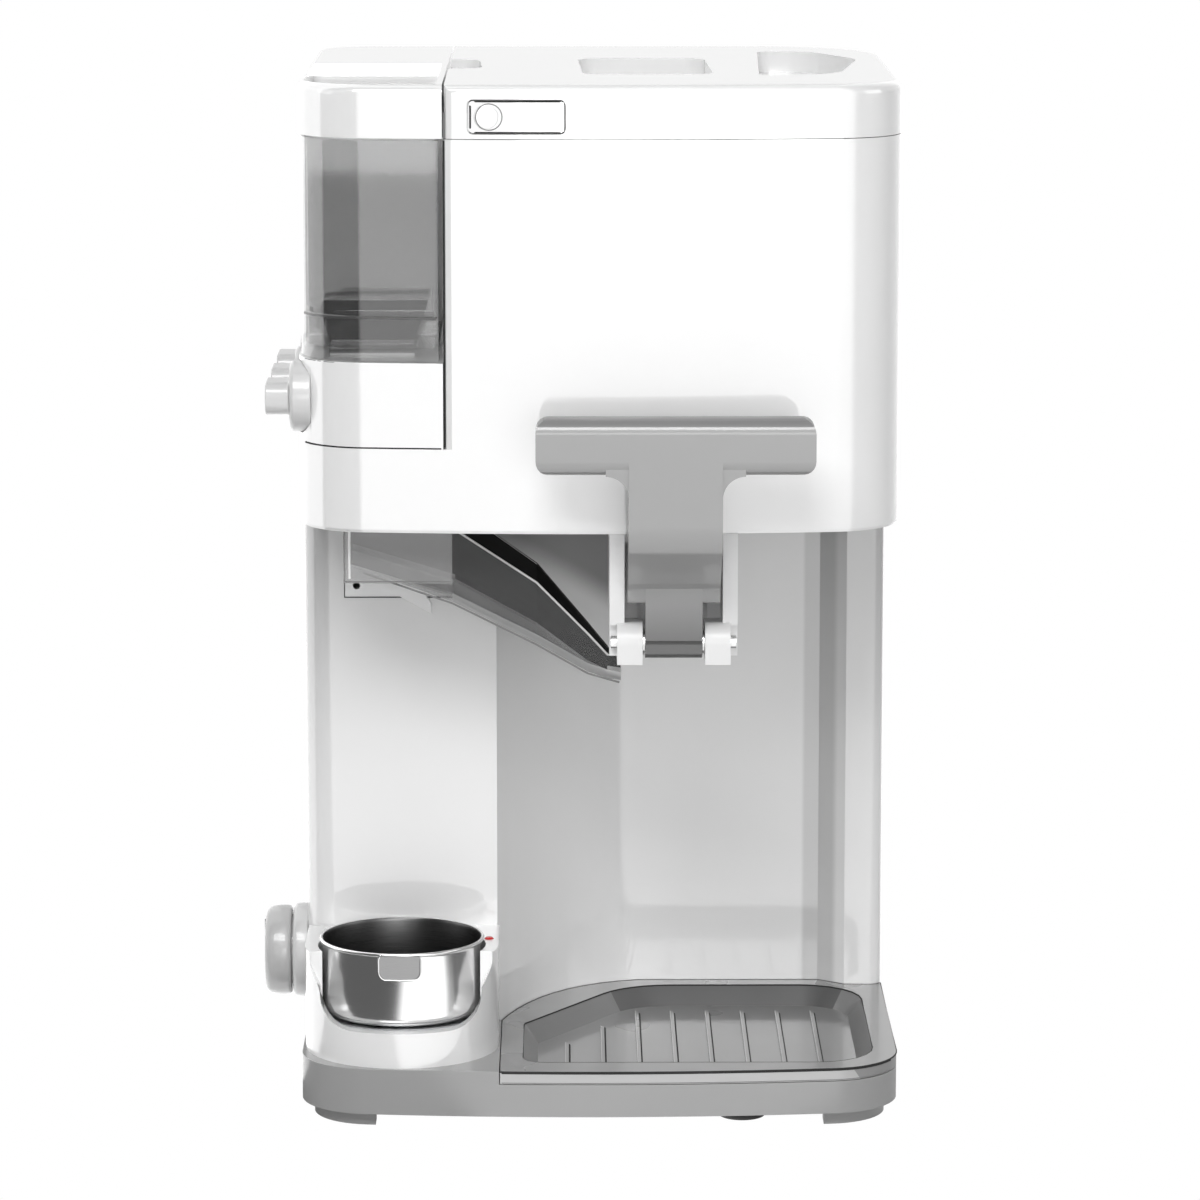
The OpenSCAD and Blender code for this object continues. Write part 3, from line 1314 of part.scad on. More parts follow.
module warming_cup() color([0.82, 0.82, 0.83]) {
    r = cup_d / 2;
    translate([station_x, station_y, plate_z + slack]) difference() {
        union() {
            translate([0, 0, 3]) cylinder(r = r - 0.8, h = cup_h - 3, $fn = 96);
            cylinder(r1 = r - 3.4, r2 = r - 0.8, h = 3, $fn = 96);
            translate([0, 0, cup_h - 1.4]) cylinder(r = r, h = 1.4, $fn = 96);
            // folded thumb tab at the front
            translate([-9, -r - 0.9, cup_h - 11]) cube([18, 2.4, 9.8]);
        }
        translate([0, 0, 3 + cup_wall]) cylinder(r = r - 0.8 - cup_wall, h = cup_h, $fn = 96);
        translate([0, 0, cup_wall]) cylinder(r1 = r - 4.2, r2 = r - 0.8 - cup_wall, h = 3.01, $fn = 96);
    }
}

ring_t = 7.4;
module knob_ring() color([0.75, 0.75, 0.76]) {
    translate([-half_w, knob_y, knob_z]) rotate([0, -90, 0]) difference() {
        cylinder(r = knob_r + 2.4, h = ring_t - 1);
        translate([0, 0, -1]) cylinder(d = 12, h = 20);
        translate([0, 0, 3]) cylinder(r = knob_r - 3, h = 20);
    }
}

module warmer_knob() color([0.62, 0.62, 0.63]) {
    translate([-half_w, knob_y, knob_z]) rotate([0, -90, 0]) {
        translate([0, 0, -18]) cylinder(d = 6, h = ring_t + 19);
        translate([0, 0, ring_t]) cylinder(r = knob_r, h = knob_reach - ring_t - 3);
        translate([0, 0, knob_reach - 3]) cylinder(r1 = knob_r, r2 = knob_r - 2.5, h = 3);
        translate([0, 0, 4]) cylinder(r = knob_r - 4, h = ring_t - 3);
    }
}

switch_w = 28;
switch_t = 16;
module rotary_switch() color([0.25, 0.25, 0.27]) {
    translate([-half_w + wall, knob_y, knob_z]) rotate([0, 90, 0]) difference() {
        union() {
            cylinder(d = 8.6, h = 2);
            translate([-switch_w / 2, -switch_w / 2, 2]) cube([switch_w, switch_w, switch_t]);
            for (k = [-1:1]) translate([k * 8 - 1.5, -8, switch_t + 2]) cube([3, 0.8, 6]);
        }
        translate([0, 0, -5]) cylinder(d = 6 + running * 2, h = 30);
    }
}

board_w = 36;
board_h = 80;
board_t = 1.6;
board_back = 46;                               // distance from the board to the back of the body
board_arm = 30;                                // how far the board stands from the body's side
module control_board() color([0.15, 0.4, 0.2]) {
    x = -half_w + wall;
    y = body_d - board_back;
    z = base_top + 12;
    box(x + board_arm, x + board_arm + board_w, y, y + board_t, z, z + board_h);
    box(x + board_arm + 4, x + board_arm + board_w * 0.55, y + board_t, y + 14, z + 8, z + board_h * 0.4);
    bar_y([x + board_arm + board_w - 8, y + board_t, z + board_h - 22], 12, 18);
    for (h = [4, board_h - 4]) box(x, x + board_arm + 2, y - 2, y, z + h - 3, z + h + 3);
}

// ---- drip tray ---------------------------------------------------------------------------------------

// Tub whose outline is the basin's drawn in by i at z1, and by the slope more at z0.
module tub(i, z0, z1) {
    layer = 0.2;
    hull() {
        slab(basin(i + tray_slope), z0, z0 + layer);
        slab(basin(i), z1 - layer, z1);
    }
}

module drip_tray() color([0.6, 0.6, 0.62, 0.7]) {
    w = tray_wall;
    difference() {
        union() {
            intersection() {
                slab(plan(body_w, 0), pocket_z + slack, base_top);
                tray_area(pocket_z + slack, base_top, seam);
            }
            tub(-w, tray_floor - w, base_top - 1);
        }
        tub(0, tray_floor, base_top);
        slab(basin(0), base_top - 0.1, base_top + 1);
        // hollow under the rim
        difference() {
            intersection() {
                slab(plan(body_w, w), pocket_z, base_top - w);
                tray_area(pocket_z, base_top - w, seam + w);
            }
            tub(-w, tray_floor - w, base_top - 1);
        }
    }
    // ribs on the floor, shorter towards the slanted left side
    rib_1 = tray_x + 27.5;
    rib_room = half_w - tray_border - tray_slope - rib_w - 4 - rib_1;
    for (k = [0 : floor(rib_room / rib_pitch)]) {
        x = rib_1 + k * rib_pitch;
        y1 = k < 2 ? tower_y - 7 + k * 28 : back_y - 31;
        box(x - rib_w / 2, x + rib_w / 2, basin_front + 10, y1, tray_floor - 0.2, tray_floor + 1.6);
    }
}

// ---- nodes -------------------------------------------------------------------------------------------

seated() base_housing();
seated() base_plate();
seated() rubber_feet();
seated() base_screws();
seated() column_shell();
seated() column_back();
seated() cord_plate();
seated() upper_housing();
seated() rear_cover();
seated() rear_screws();
seated() cord_gland();
seated() bowl_well();
seated() main_lid();
seated() lid_latch();
seated() lid_hinge_pins();
seated() dispenser_lid();
seated() dispenser_block();
seated() mixin_funnel();
seated() container_1();
seated() container_2();
seated() container_3();
seated() hopper_1();
seated() hopper_2();
seated() hopper_3();
seated() rotor_1();
seated() rotor_2();
seated() rotor_3();
seated() dial_1();
seated() dial_2();
seated() dial_3();
seated() mixin_chute();
seated() chute_bracket();
seated() bowl_shell();
seated() bowl_liner();
seated() coolant();
seated() bowl_rim();
seated() outlet_seal();
seated() mixing_paddle();
seated() paddle_scrapers();
seated() drive_shaft();
seated() bowl_gear();
seated() idler_gear();
seated() idler_axle();
seated() motor_pinion();
seated() drive_motor();
seated() motor_bracket();
seated() spout_block();
seated() plunger();
seated() plunger_seals();
seated() dispense_lever();
seated() lever_pin();
seated() lever_spring();
seated() cup_station();
seated() hot_plate();
seated() warming_cup();
seated() warmer_lamp();
seated() warmer_knob();
seated() knob_ring();
seated() rotary_switch();
seated() control_board();
seated() drip_tray();
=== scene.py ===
"""Looks of the ice cream maker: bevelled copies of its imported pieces, their materials and a soft studio."""
import json
import math

import bmesh
import bpy
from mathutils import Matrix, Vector
from mathutils.bvhtree import BVHTree


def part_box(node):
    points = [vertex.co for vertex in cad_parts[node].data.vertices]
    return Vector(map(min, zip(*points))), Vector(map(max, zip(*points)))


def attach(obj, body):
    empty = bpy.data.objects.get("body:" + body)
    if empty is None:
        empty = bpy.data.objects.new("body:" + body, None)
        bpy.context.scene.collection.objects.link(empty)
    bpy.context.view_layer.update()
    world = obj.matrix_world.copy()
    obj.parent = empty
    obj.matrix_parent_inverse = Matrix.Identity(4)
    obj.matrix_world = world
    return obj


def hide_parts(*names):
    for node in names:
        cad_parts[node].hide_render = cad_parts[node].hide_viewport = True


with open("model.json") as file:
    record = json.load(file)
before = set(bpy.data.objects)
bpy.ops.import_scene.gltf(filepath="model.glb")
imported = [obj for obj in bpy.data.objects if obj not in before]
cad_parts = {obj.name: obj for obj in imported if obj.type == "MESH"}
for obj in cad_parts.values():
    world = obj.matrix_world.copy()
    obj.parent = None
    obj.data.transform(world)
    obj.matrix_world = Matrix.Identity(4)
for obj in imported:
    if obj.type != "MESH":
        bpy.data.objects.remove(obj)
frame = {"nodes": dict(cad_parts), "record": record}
NODES = frame["nodes"]
NODE_BODY = {n: body for body, names in frame["record"]["behaviour"]["bodies"].items() for n in names}
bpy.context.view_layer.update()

MM = 0.001
SHIFT = Vector((9.25, -95.5, 0.0))      # from the drawing's millimetres to the frame's


def at(x, y, z):
    """A point of the drawing, in millimetres, in the frame's metres."""
    return (Vector((x, y, z)) + SHIFT) * MM


# ---- camera --------------------------------------------------------------------------------------

CAMERA_AT = Vector((-4.5, -2223.9, 587.2)) * MM
CAMERA_DOWN = 9.8           # degrees below the horizon
CAMERA_YAW = 0.37           # degrees turned towards +X
CAMERA_LENS = 162.0         # on a 36 mm sensor


def make_camera():
    data = bpy.data.cameras.new("camera")
    data.lens = CAMERA_LENS
    data.sensor_width = 36.0
    data.sensor_fit = "HORIZONTAL"
    data.clip_end = 50.0
    camera = bpy.data.objects.new("camera", data)
    bpy.context.scene.collection.objects.link(camera)
    camera.location = CAMERA_AT
    camera.rotation_euler = (math.radians(90.0 - CAMERA_DOWN), 0.0, math.radians(-CAMERA_YAW))
    bpy.context.scene.camera = camera


# ---- materials -----------------------------------------------------------------------------------

def new_material(name):
    mat = bpy.data.materials.new(name)
    mat.use_nodes = True
    tree = mat.node_tree
    tree.nodes.clear()
    out = tree.nodes.new("ShaderNodeOutputMaterial")
    shader = tree.nodes.new("ShaderNodeBsdfPrincipled")
    tree.links.new(shader.outputs[0], out.inputs[0])
    return mat, tree, shader


def noise(tree, scale, detail=2.0, stretch=(1.0, 1.0, 1.0)):
    """Noise in the object's own metres, with scale in features per metre."""
    coords = tree.nodes.new("ShaderNodeTexCoord")
    mapping = tree.nodes.new("ShaderNodeMapping")
    mapping.inputs["Scale"].default_value = stretch
    tex = tree.nodes.new("ShaderNodeTexNoise")
    tex.inputs["Scale"].default_value = scale
    tex.inputs["Detail"].default_value = detail
    tree.links.new(coords.outputs["Object"], mapping.inputs["Vector"])
    tree.links.new(mapping.outputs[0], tex.inputs["Vector"])
    return tex


def remap(tree, source, low, high):
    node = tree.nodes.new("ShaderNodeMapRange")
    node.inputs["From Min"].default_value = 0.3
    node.inputs["From Max"].default_value = 0.7
    node.inputs["To Min"].default_value = low
    node.inputs["To Max"].default_value = high
    tree.links.new(source, node.inputs["Value"])
    return node.outputs[0]


def tint(tree, source, low, high):
    ramp = tree.nodes.new("ShaderNodeValToRGB")
    ramp.color_ramp.elements[0].color = (*low, 1.0)
    ramp.color_ramp.elements[1].color = (*high, 1.0)
    ramp.color_ramp.elements[0].position = 0.3
    ramp.color_ramp.elements[1].position = 0.7
    tree.links.new(source, ramp.inputs[0])
    return ramp.outputs[0]


def bump(tree, shader, source, strength, depth):
    node = tree.nodes.new("ShaderNodeBump")
    node.inputs["Strength"].default_value = strength
    node.inputs["Distance"].default_value = depth
    tree.links.new(source, node.inputs["Height"])
    tree.links.new(node.outputs[0], shader.inputs["Normal"])


def grey(v):
    return (v, v, v)


GRAIN_SCALE = 1600.0        # features of a satin surface's grain per metre


def plastic(name, colour, roughness, grain=0.0, spread=0.006, coat=0.0, coat_ior=1.5, specular=0.5):
    """Moulded plastic: a slightly uneven colour and roughness, with a fine grain where it is satin."""
    mat, tree, shader = new_material(name)
    cloud = noise(tree, 18.0).outputs["Fac"]
    low = tuple(max(c - spread, 0.0) for c in colour)
    high = tuple(min(c + spread, 1.0) for c in colour)
    tree.links.new(tint(tree, cloud, low, high), shader.inputs["Base Color"])
    tree.links.new(remap(tree, cloud, roughness * 0.92, roughness * 1.08), shader.inputs["Roughness"])
    shader.inputs["Specular IOR Level"].default_value = specular
    shader.inputs["Coat Weight"].default_value = coat
    shader.inputs["Coat Roughness"].default_value = 0.05
    shader.inputs["Coat IOR"].default_value = coat_ior
    if grain:
        bump(tree, shader, noise(tree, GRAIN_SCALE, 3.0).outputs["Fac"], grain, 0.0002)
    return mat


def thin_plastic(name, tone, body, cover, ior=1.9, roughness=0.03):
    """Clear moulding seen as two thin skins: light goes straight on, tinted by tone, and the outer skin
    mirrors the studio. The share cover of it shows the grey body."""
    mat, tree, shader = new_material(name)
    out = shader.outputs[0].links[0].to_node
    cloud = noise(tree, 25.0).outputs["Fac"]
    low = grey(max(body - 0.01, 0.0))
    high = grey(body + 0.01)
    tree.links.new(tint(tree, cloud, low, high), shader.inputs["Base Color"])
    tree.links.new(remap(tree, cloud, 0.25, 0.35), shader.inputs["Roughness"])
    through = tree.nodes.new("ShaderNodeBsdfTransparent")
    through.inputs["Color"].default_value = (*grey(tone), 1.0)
    skin = tree.nodes.new("ShaderNodeMixShader")
    skin.inputs[0].default_value = cover
    tree.links.new(through.outputs[0], skin.inputs[1])
    tree.links.new(shader.outputs[0], skin.inputs[2])
    gloss = tree.nodes.new("ShaderNodeBsdfGlossy")
    gloss.inputs["Roughness"].default_value = roughness
    fresnel = tree.nodes.new("ShaderNodeFresnel")
    fresnel.inputs["IOR"].default_value = ior
    face = tree.nodes.new("ShaderNodeNewGeometry")
    front = tree.nodes.new("ShaderNodeMath")      # the inner skins don't mirror a second time
    front.operation = "SUBTRACT"
    front.inputs[0].default_value = 1.0
    tree.links.new(face.outputs["Backfacing"], front.inputs[1])
    share = tree.nodes.new("ShaderNodeMath")
    share.operation = "MULTIPLY"
    tree.links.new(fresnel.outputs[0], share.inputs[0])
    tree.links.new(front.outputs[0], share.inputs[1])
    mix = tree.nodes.new("ShaderNodeMixShader")
    tree.links.new(share.outputs[0], mix.inputs[0])
    tree.links.new(skin.outputs[0], mix.inputs[1])
    tree.links.new(gloss.outputs[0], mix.inputs[2])
    tree.links.new(mix.outputs[0], out.inputs[0])
    return mat


def fade_along(tree, weights, start, end, before, after):
    """A value that goes smoothly from before to after while the sum of the object's coordinates, in metres
    and times weights, goes from start to end."""
    coords = tree.nodes.new("ShaderNodeTexCoord")
    along = tree.nodes.new("ShaderNodeVectorMath")
    along.operation = "DOT_PRODUCT"
    along.inputs[1].default_value = weights
    tree.links.new(coords.outputs["Object"], along.inputs[0])
    fade = tree.nodes.new("ShaderNodeMapRange")
    fade.interpolation_type = "SMOOTHSTEP"
    fade.inputs["From Min"].default_value = start
    fade.inputs["From Max"].default_value = end
    fade.inputs["To Min"].default_value = before
    fade.inputs["To Max"].default_value = after
    tree.links.new(along.outputs["Value"], fade.inputs["Value"])
    return fade.outputs[0]


def multiplied(mat):
    """Puts a multiplying mix before a material's colour and returns it, to be given its B and its Factor."""
    tree = mat.node_tree
    shader = next(n for n in tree.nodes if n.type == "BSDF_PRINCIPLED")
    source = shader.inputs["Base Color"].links[0].from_socket
    mix = tree.nodes.new("ShaderNodeMix")
    mix.data_type = "RGBA"
    mix.blend_type = "MULTIPLY"
    mix.inputs["Factor"].default_value = 1.0
    tree.links.new(source, mix.inputs["A"])
    tree.links.new(mix.outputs["Result"], shader.inputs["Base Color"])
    return mix


def shade_by(mat, weights, start, end, before, after):
    """Soft contact shadow: a material's colour times the value of fade_along."""
    tree = mat.node_tree
    tree.links.new(fade_along(tree, weights, start, end, before, after), multiplied(mat).inputs["B"])


def bay_shade(mat):
    """The shadow in the corner over the chute: above the chute's line and between the tower and the spout."""
    tree = mat.node_tree
    share = fade_along(tree, CHUTE_LINE, 0.197, 0.212, 0.0, 1.0)
    right_of_tower = fade_along(tree, ALONG_X, -0.0345, -0.033, 0.0, 1.0)
    left_of_spout = fade_along(tree, ALONG_X, 0.020, 0.045, 1.0, 0.0)
    for limit in (right_of_tower, left_of_spout):
        times = tree.nodes.new("ShaderNodeMath")
        times.operation = "MULTIPLY"
        tree.links.new(share, times.inputs[0])
        tree.links.new(limit, times.inputs[1])
        share = times.outputs[0]
    mix = multiplied(mat)
    mix.inputs["B"].default_value = (*grey(0.30), 1.0)
    tree.links.new(share, mix.inputs["Factor"])


def metal(name, colour, roughness, brushed=(60.0, 60.0, 9000.0), contrast=0.25, relief=0.15):
    """Metal with fine lines that run where the scale of brushed is small."""
    mat, tree, shader = new_material(name)
    lines = noise(tree, 1.0, 2.0, brushed).outputs["Fac"]
    low = tuple(c * (1.0 - contrast * 0.3) for c in colour)
    tree.links.new(tint(tree, lines, low, colour), shader.inputs["Base Color"])
    tree.links.new(remap(tree, lines, roughness * (1.0 - contrast), roughness * (1.0 + contrast)),
                   shader.inputs["Roughness"])
    shader.inputs["Metallic"].default_value = 1.0
    bump(tree, shader, lines, relief, 0.00005)
    return mat


ALONG_X = (1.0, 0.0, 0.0)
ALONG_Z = (0.0, 0.0, 1.0)
CHUTE_LINE = (0.73, 0.0, 1.0)     # across the chute's slanted edge, seen from the front

WHITE = plastic("white_gloss", grey(0.90), 0.30, coat=1.0, coat_ior=2.0)
# Painted shade in the column's colour: a painted shadow darker towards the housing, painted shade on the
# stile's inner side, and the bay's painted shadow over the chute.
WHITE_COLUMN_SHADED = plastic("white_column_shaded", grey(0.88), 0.32, coat=1.0, coat_ior=1.6)
shade_by(WHITE_COLUMN_SHADED, ALONG_Z, 0.10, 0.246, 1.0, 0.58)         # darker towards the housing
shade_by(WHITE_COLUMN_SHADED, ALONG_X, 0.097, 0.099, 1.0, 0.74)        # the stile's inner side
shade_by(WHITE_COLUMN_SHADED, ALONG_X, 0.110, 0.113, 1.0, 1.35)        # and its front, light again
bay_shade(WHITE_COLUMN_SHADED)
WHITE_SATIN = plastic("white_satin", grey(0.84), 0.35, grain=0.08)
# Painted shade: the lever's colour is darker at its foot.
LEVER_GREY_SHADED = plastic("lever_grey_shaded", grey(0.34), 0.36, grain=0.06, coat=0.5, coat_ior=1.6)
shade_by(LEVER_GREY_SHADED, ALONG_Z, 0.200, 0.232, 0.30, 1.0)          # darker at the foot, between the cheeks
GREY_SATIN = plastic("grey_satin", grey(0.335), 0.36, grain=0.06, coat=0.5, coat_ior=1.6)
LIGHT_GREY = plastic("light_grey", grey(0.66), 0.34, grain=0.06, coat=0.4, coat_ior=1.6)
KNOB_GREY = plastic("knob_grey", grey(0.52), 0.34, grain=0.06, coat=0.4, coat_ior=1.6)
# Painted shade: the top of the lever's bar is painted darker.
LEVER_TOP_SHADE = plastic("lever_top_shade", grey(0.22), 0.4)
DARK = plastic("dark_plastic", grey(0.035), 0.5, grain=0.2, spread=0.004)
RUBBER = plastic("black_rubber", grey(0.02), 0.75, grain=0.5, spread=0.004)
CLEAR = thin_plastic("clear_plastic", 0.93, 0.7, 0.03)
SMOKED = thin_plastic("smoked_plastic", 0.80, 0.03, 0.10, ior=2.1)
HOPPER = thin_plastic("hopper_plastic", 0.88, 0.3, 0.03, ior=1.35)
# Painted shade: the hopper's inside is painted near black.
HOPPER_INSIDE_SHADE = plastic("hopper_inside_shade", grey(0.006), 0.6, spread=0.002, specular=0.05)
TRAY = thin_plastic("tray_plastic", 0.55, 0.33, 0.85, ior=1.6, roughness=0.12)
# Painted shade on the basin's leaning walls and back wall, and a painted highlight on the tray's front edge
# and its ribs.
TRAY_SLOPE_SHADE = plastic("tray_slope", grey(0.20), 0.3, coat=0.3)
TRAY_BACK_SHADE = plastic("tray_back_shade", grey(0.10), 0.3, coat=0.2)
TRAY_EDGE = plastic("tray_edge_highlight", grey(0.52), 0.25, coat=0.5)
CHUTE = thin_plastic("chute_front", 0.93, 0.6, 0.04, ior=1.32)
CHUTE_BOX = thin_plastic("chute_box", 0.85, 0.5, 0.3, ior=1.5)
# Painted shade on the inside of the chute's back wall, and painted highlights on its rim and underside.
CHUTE_INSIDE_SHADE = plastic("chute_inside_shade", grey(0.012), 0.6, spread=0.002, specular=0.06)
CHUTE_RIM_HIGHLIGHT = plastic("chute_rim", grey(0.60), 0.25, coat=0.5)
CHUTE_BELLY_HIGHLIGHT = thin_plastic("chute_belly_highlight", 0.8, 0.62, 0.55, ior=1.6)
# SHADE: dark joints and the knob's mark, and painted shade along the tray, its ribs, the chute and its
# bracket.
SHADE = plastic("seam_shade", grey(0.012), 0.8, spread=0.003)
# FAINT: faint joints, and painted shade along the chute's low edge and round the latch's dish.
FAINT = plastic("seam_faint", grey(0.22), 0.8)
# Painted shade: the dark line along the container's shelf.
SHELF_SHADE_LINE = plastic("shelf_shade_line", grey(0.06), 0.2, coat=0.6)
STEEL = metal("steel", grey(0.62), 0.28)
CUP_STEEL = metal("cup_steel", grey(0.74), 0.20, contrast=0.12, relief=0.03)
# Painted shade: the cup's inside is painted darker.
CUP_INSIDE_SHADE = metal("cup_inside_shade", grey(0.13), 0.30, contrast=0.12, relief=0.03)
# Painted reflection: the cup's tab is painted dark.
TAB_DARK_REFLECTION = metal("tab_dark_reflection", grey(0.20), 0.30, contrast=0.12, relief=0.03)
ALUMINIUM = metal("aluminium", (0.80, 0.81, 0.82), 0.35)
NYLON = plastic("nylon", (0.78, 0.75, 0.66), 0.45, grain=0.1)
COOLANT = plastic("coolant", (0.25, 0.45, 0.65), 0.3)
MOTOR = plastic("motor_metal", (0.16, 0.165, 0.18), 0.4, grain=0.1)
RED = plastic("red_lens", (0.62, 0.03, 0.03), 0.15)
BOARD = plastic("board", (0.02, 0.13, 0.05), 0.5, grain=0.1)

LOOKS = {
    "white_gloss": WHITE, "white_satin": WHITE_SATIN, "grey_satin": GREY_SATIN, "light_grey": LIGHT_GREY,
    "dark_plastic": DARK, "black_rubber": RUBBER, "steel": STEEL, "cup_steel": CUP_STEEL,
    "clear_plastic": CLEAR, "smoked_plastic": SMOKED, "tray_plastic": TRAY, "aluminium": ALUMINIUM,
    "coolant": COOLANT, "nylon": NYLON, "motor_metal": MOTOR, "red_lens": RED, "board": BOARD,
}
SLOT_OF = {s["node"]: s["material_slot"] for s in frame["record"]["subparts"]}


def dress(obj, material):
    obj.data.materials.clear()
    obj.data.materials.append(material)


# ---- pieces --------------------------------------------------------------------------------------

def smooth_by_angle(mesh, degrees):
    mesh.shade_smooth()
    mesh.set_sharp_from_angle(angle=math.radians(degrees))


def softened(node, width):
    """A copy of a CAD node with its sharp edges rounded by width, in millimetres, standing for that node."""
    source = NODES[node]
    mesh = source.data.copy()
    bm = bmesh.new()
    bm.from_mesh(mesh)
    bmesh.ops.remove_doubles(bm, verts=bm.verts, dist=1e-6)
    if node not in UNMERGED:
        bmesh.ops.dissolve_limit(bm, angle_limit=math.radians(0.5), verts=bm.verts, edges=bm.edges)
    bm.to_mesh(mesh)
    bm.free()
    obj = bpy.data.objects.new(node + "_finish", mesh)
    bpy.context.scene.collection.objects.link(obj)
    for layer in list(mesh.uv_layers):
        mesh.uv_layers.remove(layer)
    smooth_by_angle(mesh, 180.0)
    bevel = obj.modifiers.new("edges", "BEVEL")
    bevel.width = width * MM
    bevel.segments = 3
    bevel.limit_method = "ANGLE"
    bevel.angle_limit = math.radians(32.0)
    bevel.miter_outer = "MITER_ARC"
    shading = obj.modifiers.new("shading", "WEIGHTED_NORMAL")
    shading.mode = "FACE_AREA"
    shading.weight = 100
    shading.keep_sharp = True
    dress(obj, OWN_LOOKS.get(node, LOOKS[SLOT_OF[node]]))
    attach(obj, NODE_BODY[node])
    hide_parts(node)
    return obj


OWN_LOOKS = {                # nodes that don't look as their slot's material does
    "column_shell": WHITE_COLUMN_SHADED, "warmer_knob": KNOB_GREY, "dispense_lever": LEVER_GREY_SHADED,
    "hopper_1": HOPPER, "hopper_2": HOPPER, "hopper_3": HOPPER, "mixin_chute": CHUTE,
}

SOFTENED = {                 # node: radius of its edges in millimetres
    "upper_housing": 0.8, "column_shell": 0.8, "column_back": 0.8, "cord_plate": 0.3, "base_housing": 0.8,
    "main_lid": 0.8, "dispenser_lid": 0.8, "lid_latch": 0.25, "dispenser_block": 0.8, "spout_block": 0.5,
    "dispense_lever": 0.8, "cup_station": 0.8, "container_1": 0.4, "container_2": 0.4, "container_3": 0.4,
    "hopper_1": 0.3, "hopper_2": 0.3, "hopper_3": 0.3, "mixin_chute": 0.4, "chute_bracket": 0.3,
    "dial_1": 0.7, "dial_2": 0.7, "dial_3": 0.7, "rear_cover": 0.3, "rubber_feet": 0.4, "cord_gland": 0.3,
    "drip_tray": 0.5,
}

# Their wide faces have many openings, and keep their own small faces so that they shade evenly.
UNMERGED = ("rear_cover", "column_back", "drip_tray")


def paint_faces(obj, chooser, *materials):
    """Gives single faces another material: chooser takes a face's normal and its middle in the drawing."""
    for material in materials:
        obj.data.materials.append(material)
    for face in obj.data.polygons:
        face.material_index = chooser(face.normal, face.center / MM - SHIFT)


HOPPER_BACK = 22.0           # the hopper's faces behind this depth are its inside
COLUMN_SIDE = 119.0          # the column's outer sides are farther than this from its middle
CHUTE_BOX_X = -57.0          # right side of the chute's box
CHUTE_DEPTH = 50.0           # middle of the chute from front to back
CHUTE_REACH = 14.0           # its top faces farther than this from that middle are its rim
CHUTE_BACK = 32.0            # its faces behind this depth, turned to the front, are its inside
TRAY_FRONT = 8.0             # the tray's faces in front of this depth are its front edge
TRAY_REAR = 100.0            # and those behind this one are the basin's back wall
TRAY_FLOOR = 17.0
TRAY_TOP = 25.0
BAR_HEIGHT = 250.0           # the lever's bar is above this height


def hopper_face(normal, middle):
    """0 clear, 1 inside, painted dark as shade."""
    return 1 if normal.y < -0.3 and middle.y > HOPPER_BACK else 0


def column_face(normal, middle):
    """0 faces seen from the front, with the bay's soft shadow, 1 the flat outer sides."""
    return 1 if abs(normal.x) > 0.985 and abs(middle.x) > COLUMN_SIDE else 0


def chute_face(normal, middle):
    """0 clear front, 1 box, 2 inside of the back wall in painted shade, 3 rim with a painted highlight, 4
    underside with a painted highlight.
    """
    if normal.z > 0.8 and abs(middle.y - CHUTE_DEPTH) > CHUTE_REACH:
        return 3
    if normal.y < -0.5 and middle.y > CHUTE_BACK:
        return 2
    if middle.x < CHUTE_BOX_X:
        return 1
    return 4 if normal.z < -0.35 else 0


def tray_face(normal, middle):
    """0 rim and floor, 1 leaning walls of the basin in painted shade, 2 front edge with a painted highlight,
    3 leaning back wall in painted shade.
    """
    if normal.y < -0.5 and middle.y < TRAY_FRONT:
        return 2
    if normal.y < -0.5 and normal.z > 0.3 and middle.y > TRAY_REAR:
        return 3
    return 1 if 0.3 < normal.z < 0.95 and TRAY_FLOOR < middle.z < TRAY_TOP else 0


def lever_face(normal, middle):
    """0 front and sides, 1 top of the bar in painted shade."""
    return 1 if normal.z > 0.6 and middle.z > BAR_HEIGHT else 0


AHEAD = -50.0                # a place in front of the whole machine
TREES = {}                   # search tree of each node that front_y has been asked for


def front_y(node, x, z):
    """Where the front of a node lies at x and z, in the drawing's millimetres."""
    if node not in TREES:
        mesh = NODES[node].data
        TREES[node] = BVHTree.FromPolygons([tuple(v.co) for v in mesh.vertices],
                                            [tuple(f.vertices) for f in mesh.polygons])
    hit = TREES[node].ray_cast(at(x, AHEAD, z), Vector((0.0, 1.0, 0.0)))[0]
    return None if hit is None else hit.y / MM - SHIFT.y


def new_mesh(name, points, faces, material, body):
    """A piece of the scene alone, which rides with body."""
    mesh = bpy.data.meshes.new(name)
    mesh.from_pydata([tuple(p) for p in points], [], faces)
    mesh.update()
    smooth_by_angle(mesh, 40.0)
    obj = bpy.data.objects.new(name, mesh)
    bpy.context.scene.collection.objects.link(obj)
    dress(obj, material)
    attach(obj, body)
    return obj


def cord_mesh(name, path, radius, material, body, sides=6):
    """Thin round line through the points of path, in metres."""
    points, faces = [], []
    for i, p in enumerate(path):
        ahead = (path[min(i + 1, len(path) - 1)] - path[max(i - 1, 0)]).normalized()
        side = ahead.cross(Vector((0.0, 1.0, 0.0)))
        side = side.normalized() if side.length > 1e-4 else Vector((1.0, 0.0, 0.0))
        up = side.cross(ahead)
        for k in range(sides):
            a = 2.0 * math.pi * k / sides
            points.append(p + (side * math.cos(a) + up * math.sin(a)) * radius * MM)
    for i in range(len(path) - 1):
        for k in range(sides):
            j = (k + 1) % sides
            faces.append((i * sides + k, i * sides + j, (i + 1) * sides + j, (i + 1) * sides + k))
    faces.append(tuple(range(sides - 1, -1, -1)))
    faces.append(tuple(range((len(path) - 1) * sides, len(path) * sides)))
    return new_mesh(name, points, faces, material, body)


